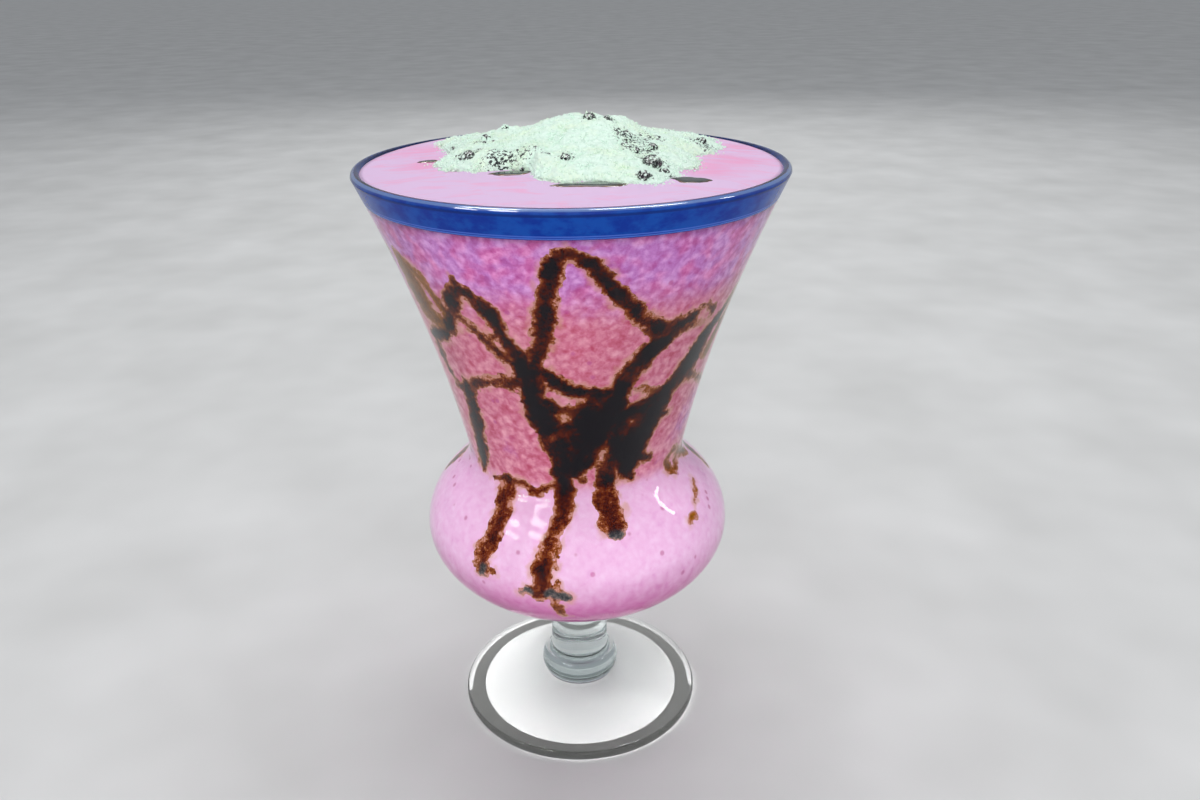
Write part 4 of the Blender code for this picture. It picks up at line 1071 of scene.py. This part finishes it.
def makeGrains(dropSpots, material):
    spots = grainPlaces(dropSpots)
    draw = np.random.default_rng(grains["seed"] + 1)
    ball, triangles = ballMesh(1)
    count = len(spots)
    size = draw.uniform(0, 1, count) ** 2 * (grains["size"][1] - grains["size"][0]) + grains["size"][0]
    stretch = draw.uniform(0.7, 1.25, (count, 1, 3))
    jagged = draw.uniform(0.8, 1.2, (count, len(ball), 1))
    shapes = ball[None] * stretch * jagged * size[:, None, None] + spots[:, None, :]
    faces = triangles[None] + (np.arange(count) * len(ball))[:, None, None]
    addPiece("looseGrains", shapes.reshape(-1, 3), faces.reshape(-1, 3).tolist(), material)


makeGlass()
makeBand()
wallSyrup = chocolateOnWall()
near = np.full((len(wallHeights), len(wallAngles)), syrupLook["reach"])
for name, groups, node in (
        ("frontSyrup", frontSyrup, "syrup_front"), ("rightSyrup", rightDropSyrup, "syrup_right_drop"),
        ("leftSyrup", leftSyrup, "syrup_left"), ("backSyrup", backSyrup, "syrup_back")):
    near = np.minimum(near, syrupSheet(name, groups, wallSyrup, [node]))
makeSlush(raggedEdge(near), spread((near < 0).astype(float), 7))
glossy = glossySyrup()
for node, place in pools["places"].items():
    makePool(node, *place, glossy)
powderFinish = milkPowder()
makePowder(powderFinish)
spots = dropPlaces()
makeDrops(spots, dustedSyrup())
makeGrains(spots, powderFinish)


# floor, light and camera
studio = {
    "floor": (196, 196, 194), "floorPale": (230, 230, 229), "floorHalf": 40.0,
    "world": (236, 240, 246), "worldStrength": 0.42,
    # (name, place, aimed at, width, height, watts), metres
    "lamps": (
        ("overhead", (0.0, 0.2, 1.0), (0, 0, 0.12), 0.7, 0.7, 3.9),
        ("frontSoft", (0.0, -1.2, 0.42), (0, 0, 0.1), 1.2, 0.8, 10.0),
        ("backSoft", (0.1, 1.1, 0.7), (0, 0, 0.1), 0.8, 0.5, 3.0),
    ),
    "unseenInGlass": ("frontSoft", "backSoft"),
    # window panes that show in the bulb, in degrees: (angle round from the front, angle up, width, height)
    "panes": ((-44, 54, 19, 5), (-58, 36, 14, 5), (-38, 44, 17, 6), (-65, 45, 10, 5), (93, 34, 3.2, 12),
              (90, 71, 24, 28), (-90, 68, 24, 18)),
    "paneMiddle": (-0.01, -0.031, 0.072), "paneAway": 1.0, "paneGlow": 34.0,
}


def makeFloor():
    mesh = bpy.data.meshes.new("floor")
    half = studio["floorHalf"]
    corners = [(-half, -half, 0), (half, -half, 0), (half, half, 0), (-half, half, 0)]
    mesh.from_pydata(corners, [], [(0, 1, 2, 3)])
    finish = Finish("paleFloor")
    spot = finish.place()
    faint = finish.noise(spot, 60, detail=2)
    colour = finish.blend(faint, paint(*studio["floor"]), paint(*studio["floorPale"]))
    mesh.materials.append(finish.close({"Base Color": colour, "Roughness": 0.7}))
    floor = addObject("floor", mesh)


def axesMatrix(side, top, back, place):
    matrix = Matrix(np.array((side, top, back)).T.tolist()).to_4x4()
    matrix.translation = place
    return matrix


def aimed(place, target):
    # a turn that looks from place to target
    direction = np.subtract(target, place)
    back = -direction / np.linalg.norm(direction)
    side = np.cross((0, 0, 1), back)
    side /= np.linalg.norm(side)
    return axesMatrix(side, np.cross(back, side), back, place)


def makeLamps():
    world = bpy.data.worlds.new("room")
    bpy.context.scene.world = world
    world.use_nodes = True
    background = world.node_tree.nodes["Background"]
    background.inputs["Color"].default_value = paint(*studio["world"])
    background.inputs["Strength"].default_value = studio["worldStrength"]
    lamps = list(studio["lamps"])
    away, middle = studio["paneAway"], np.array(studio["paneMiddle"])
    for i, (compass, height, wide, tall) in enumerate(studio["panes"]):
        a, b = math.radians(compass), math.radians(height)
        place = middle + away * np.array((math.sin(a) * math.cos(b), -math.cos(a) * math.cos(b), math.sin(b)))
        width, length = away * math.radians(wide) * math.cos(b), away * math.radians(tall)
        watts = studio["paneGlow"] * math.pi * width * length
        lamps.append((f"pane{i}", place, middle, width, length, watts))
    for name, place, target, width, height, watts in lamps:
        lamp = bpy.data.lights.new(name, "AREA")
        lamp.shape = "RECTANGLE"
        lamp.size, lamp.size_y = width, height
        lamp.energy = watts
        holder = addObject(name, lamp)
        holder.visible_glossy = name not in studio["unseenInGlass"]
        holder.visible_diffuse = not name.startswith("pane")
        # the glass casts no shadow, so a lamp seen through it would light things twice
        holder.visible_transmission = False
        holder.matrix_world = aimed(place, target)


# metres, degrees, and millimetres for the lens
view = {
    "place": (0.00235, -0.24132, 0.19472), "pitch": 23.405, "roll": -0.784,
    "lens": 30.454, "sensor": 36, "shift": 0.0129,
}


def makeCamera():
    pitch, roll = math.radians(view["pitch"]), math.radians(view["roll"])
    forward = np.array((0, math.cos(pitch), -math.sin(pitch)))
    right = np.array((1, 0, 0))
    up = np.cross(right, forward)
    side = math.cos(roll) * right + math.sin(roll) * up
    top = -math.sin(roll) * right + math.cos(roll) * up
    lens = bpy.data.cameras.new("camera")
    lens.lens = view["lens"]
    lens.sensor_width = view["sensor"]
    lens.shift_x = view["shift"]
    lens.clip_start = 0.01
    camera = addObject("camera", lens)
    camera.matrix_world = axesMatrix(side, top, -forward, view["place"])
    bpy.context.scene.camera = camera


makeFloor()
makeLamps()
makeCamera()
print("floor, lamps and camera are in place")
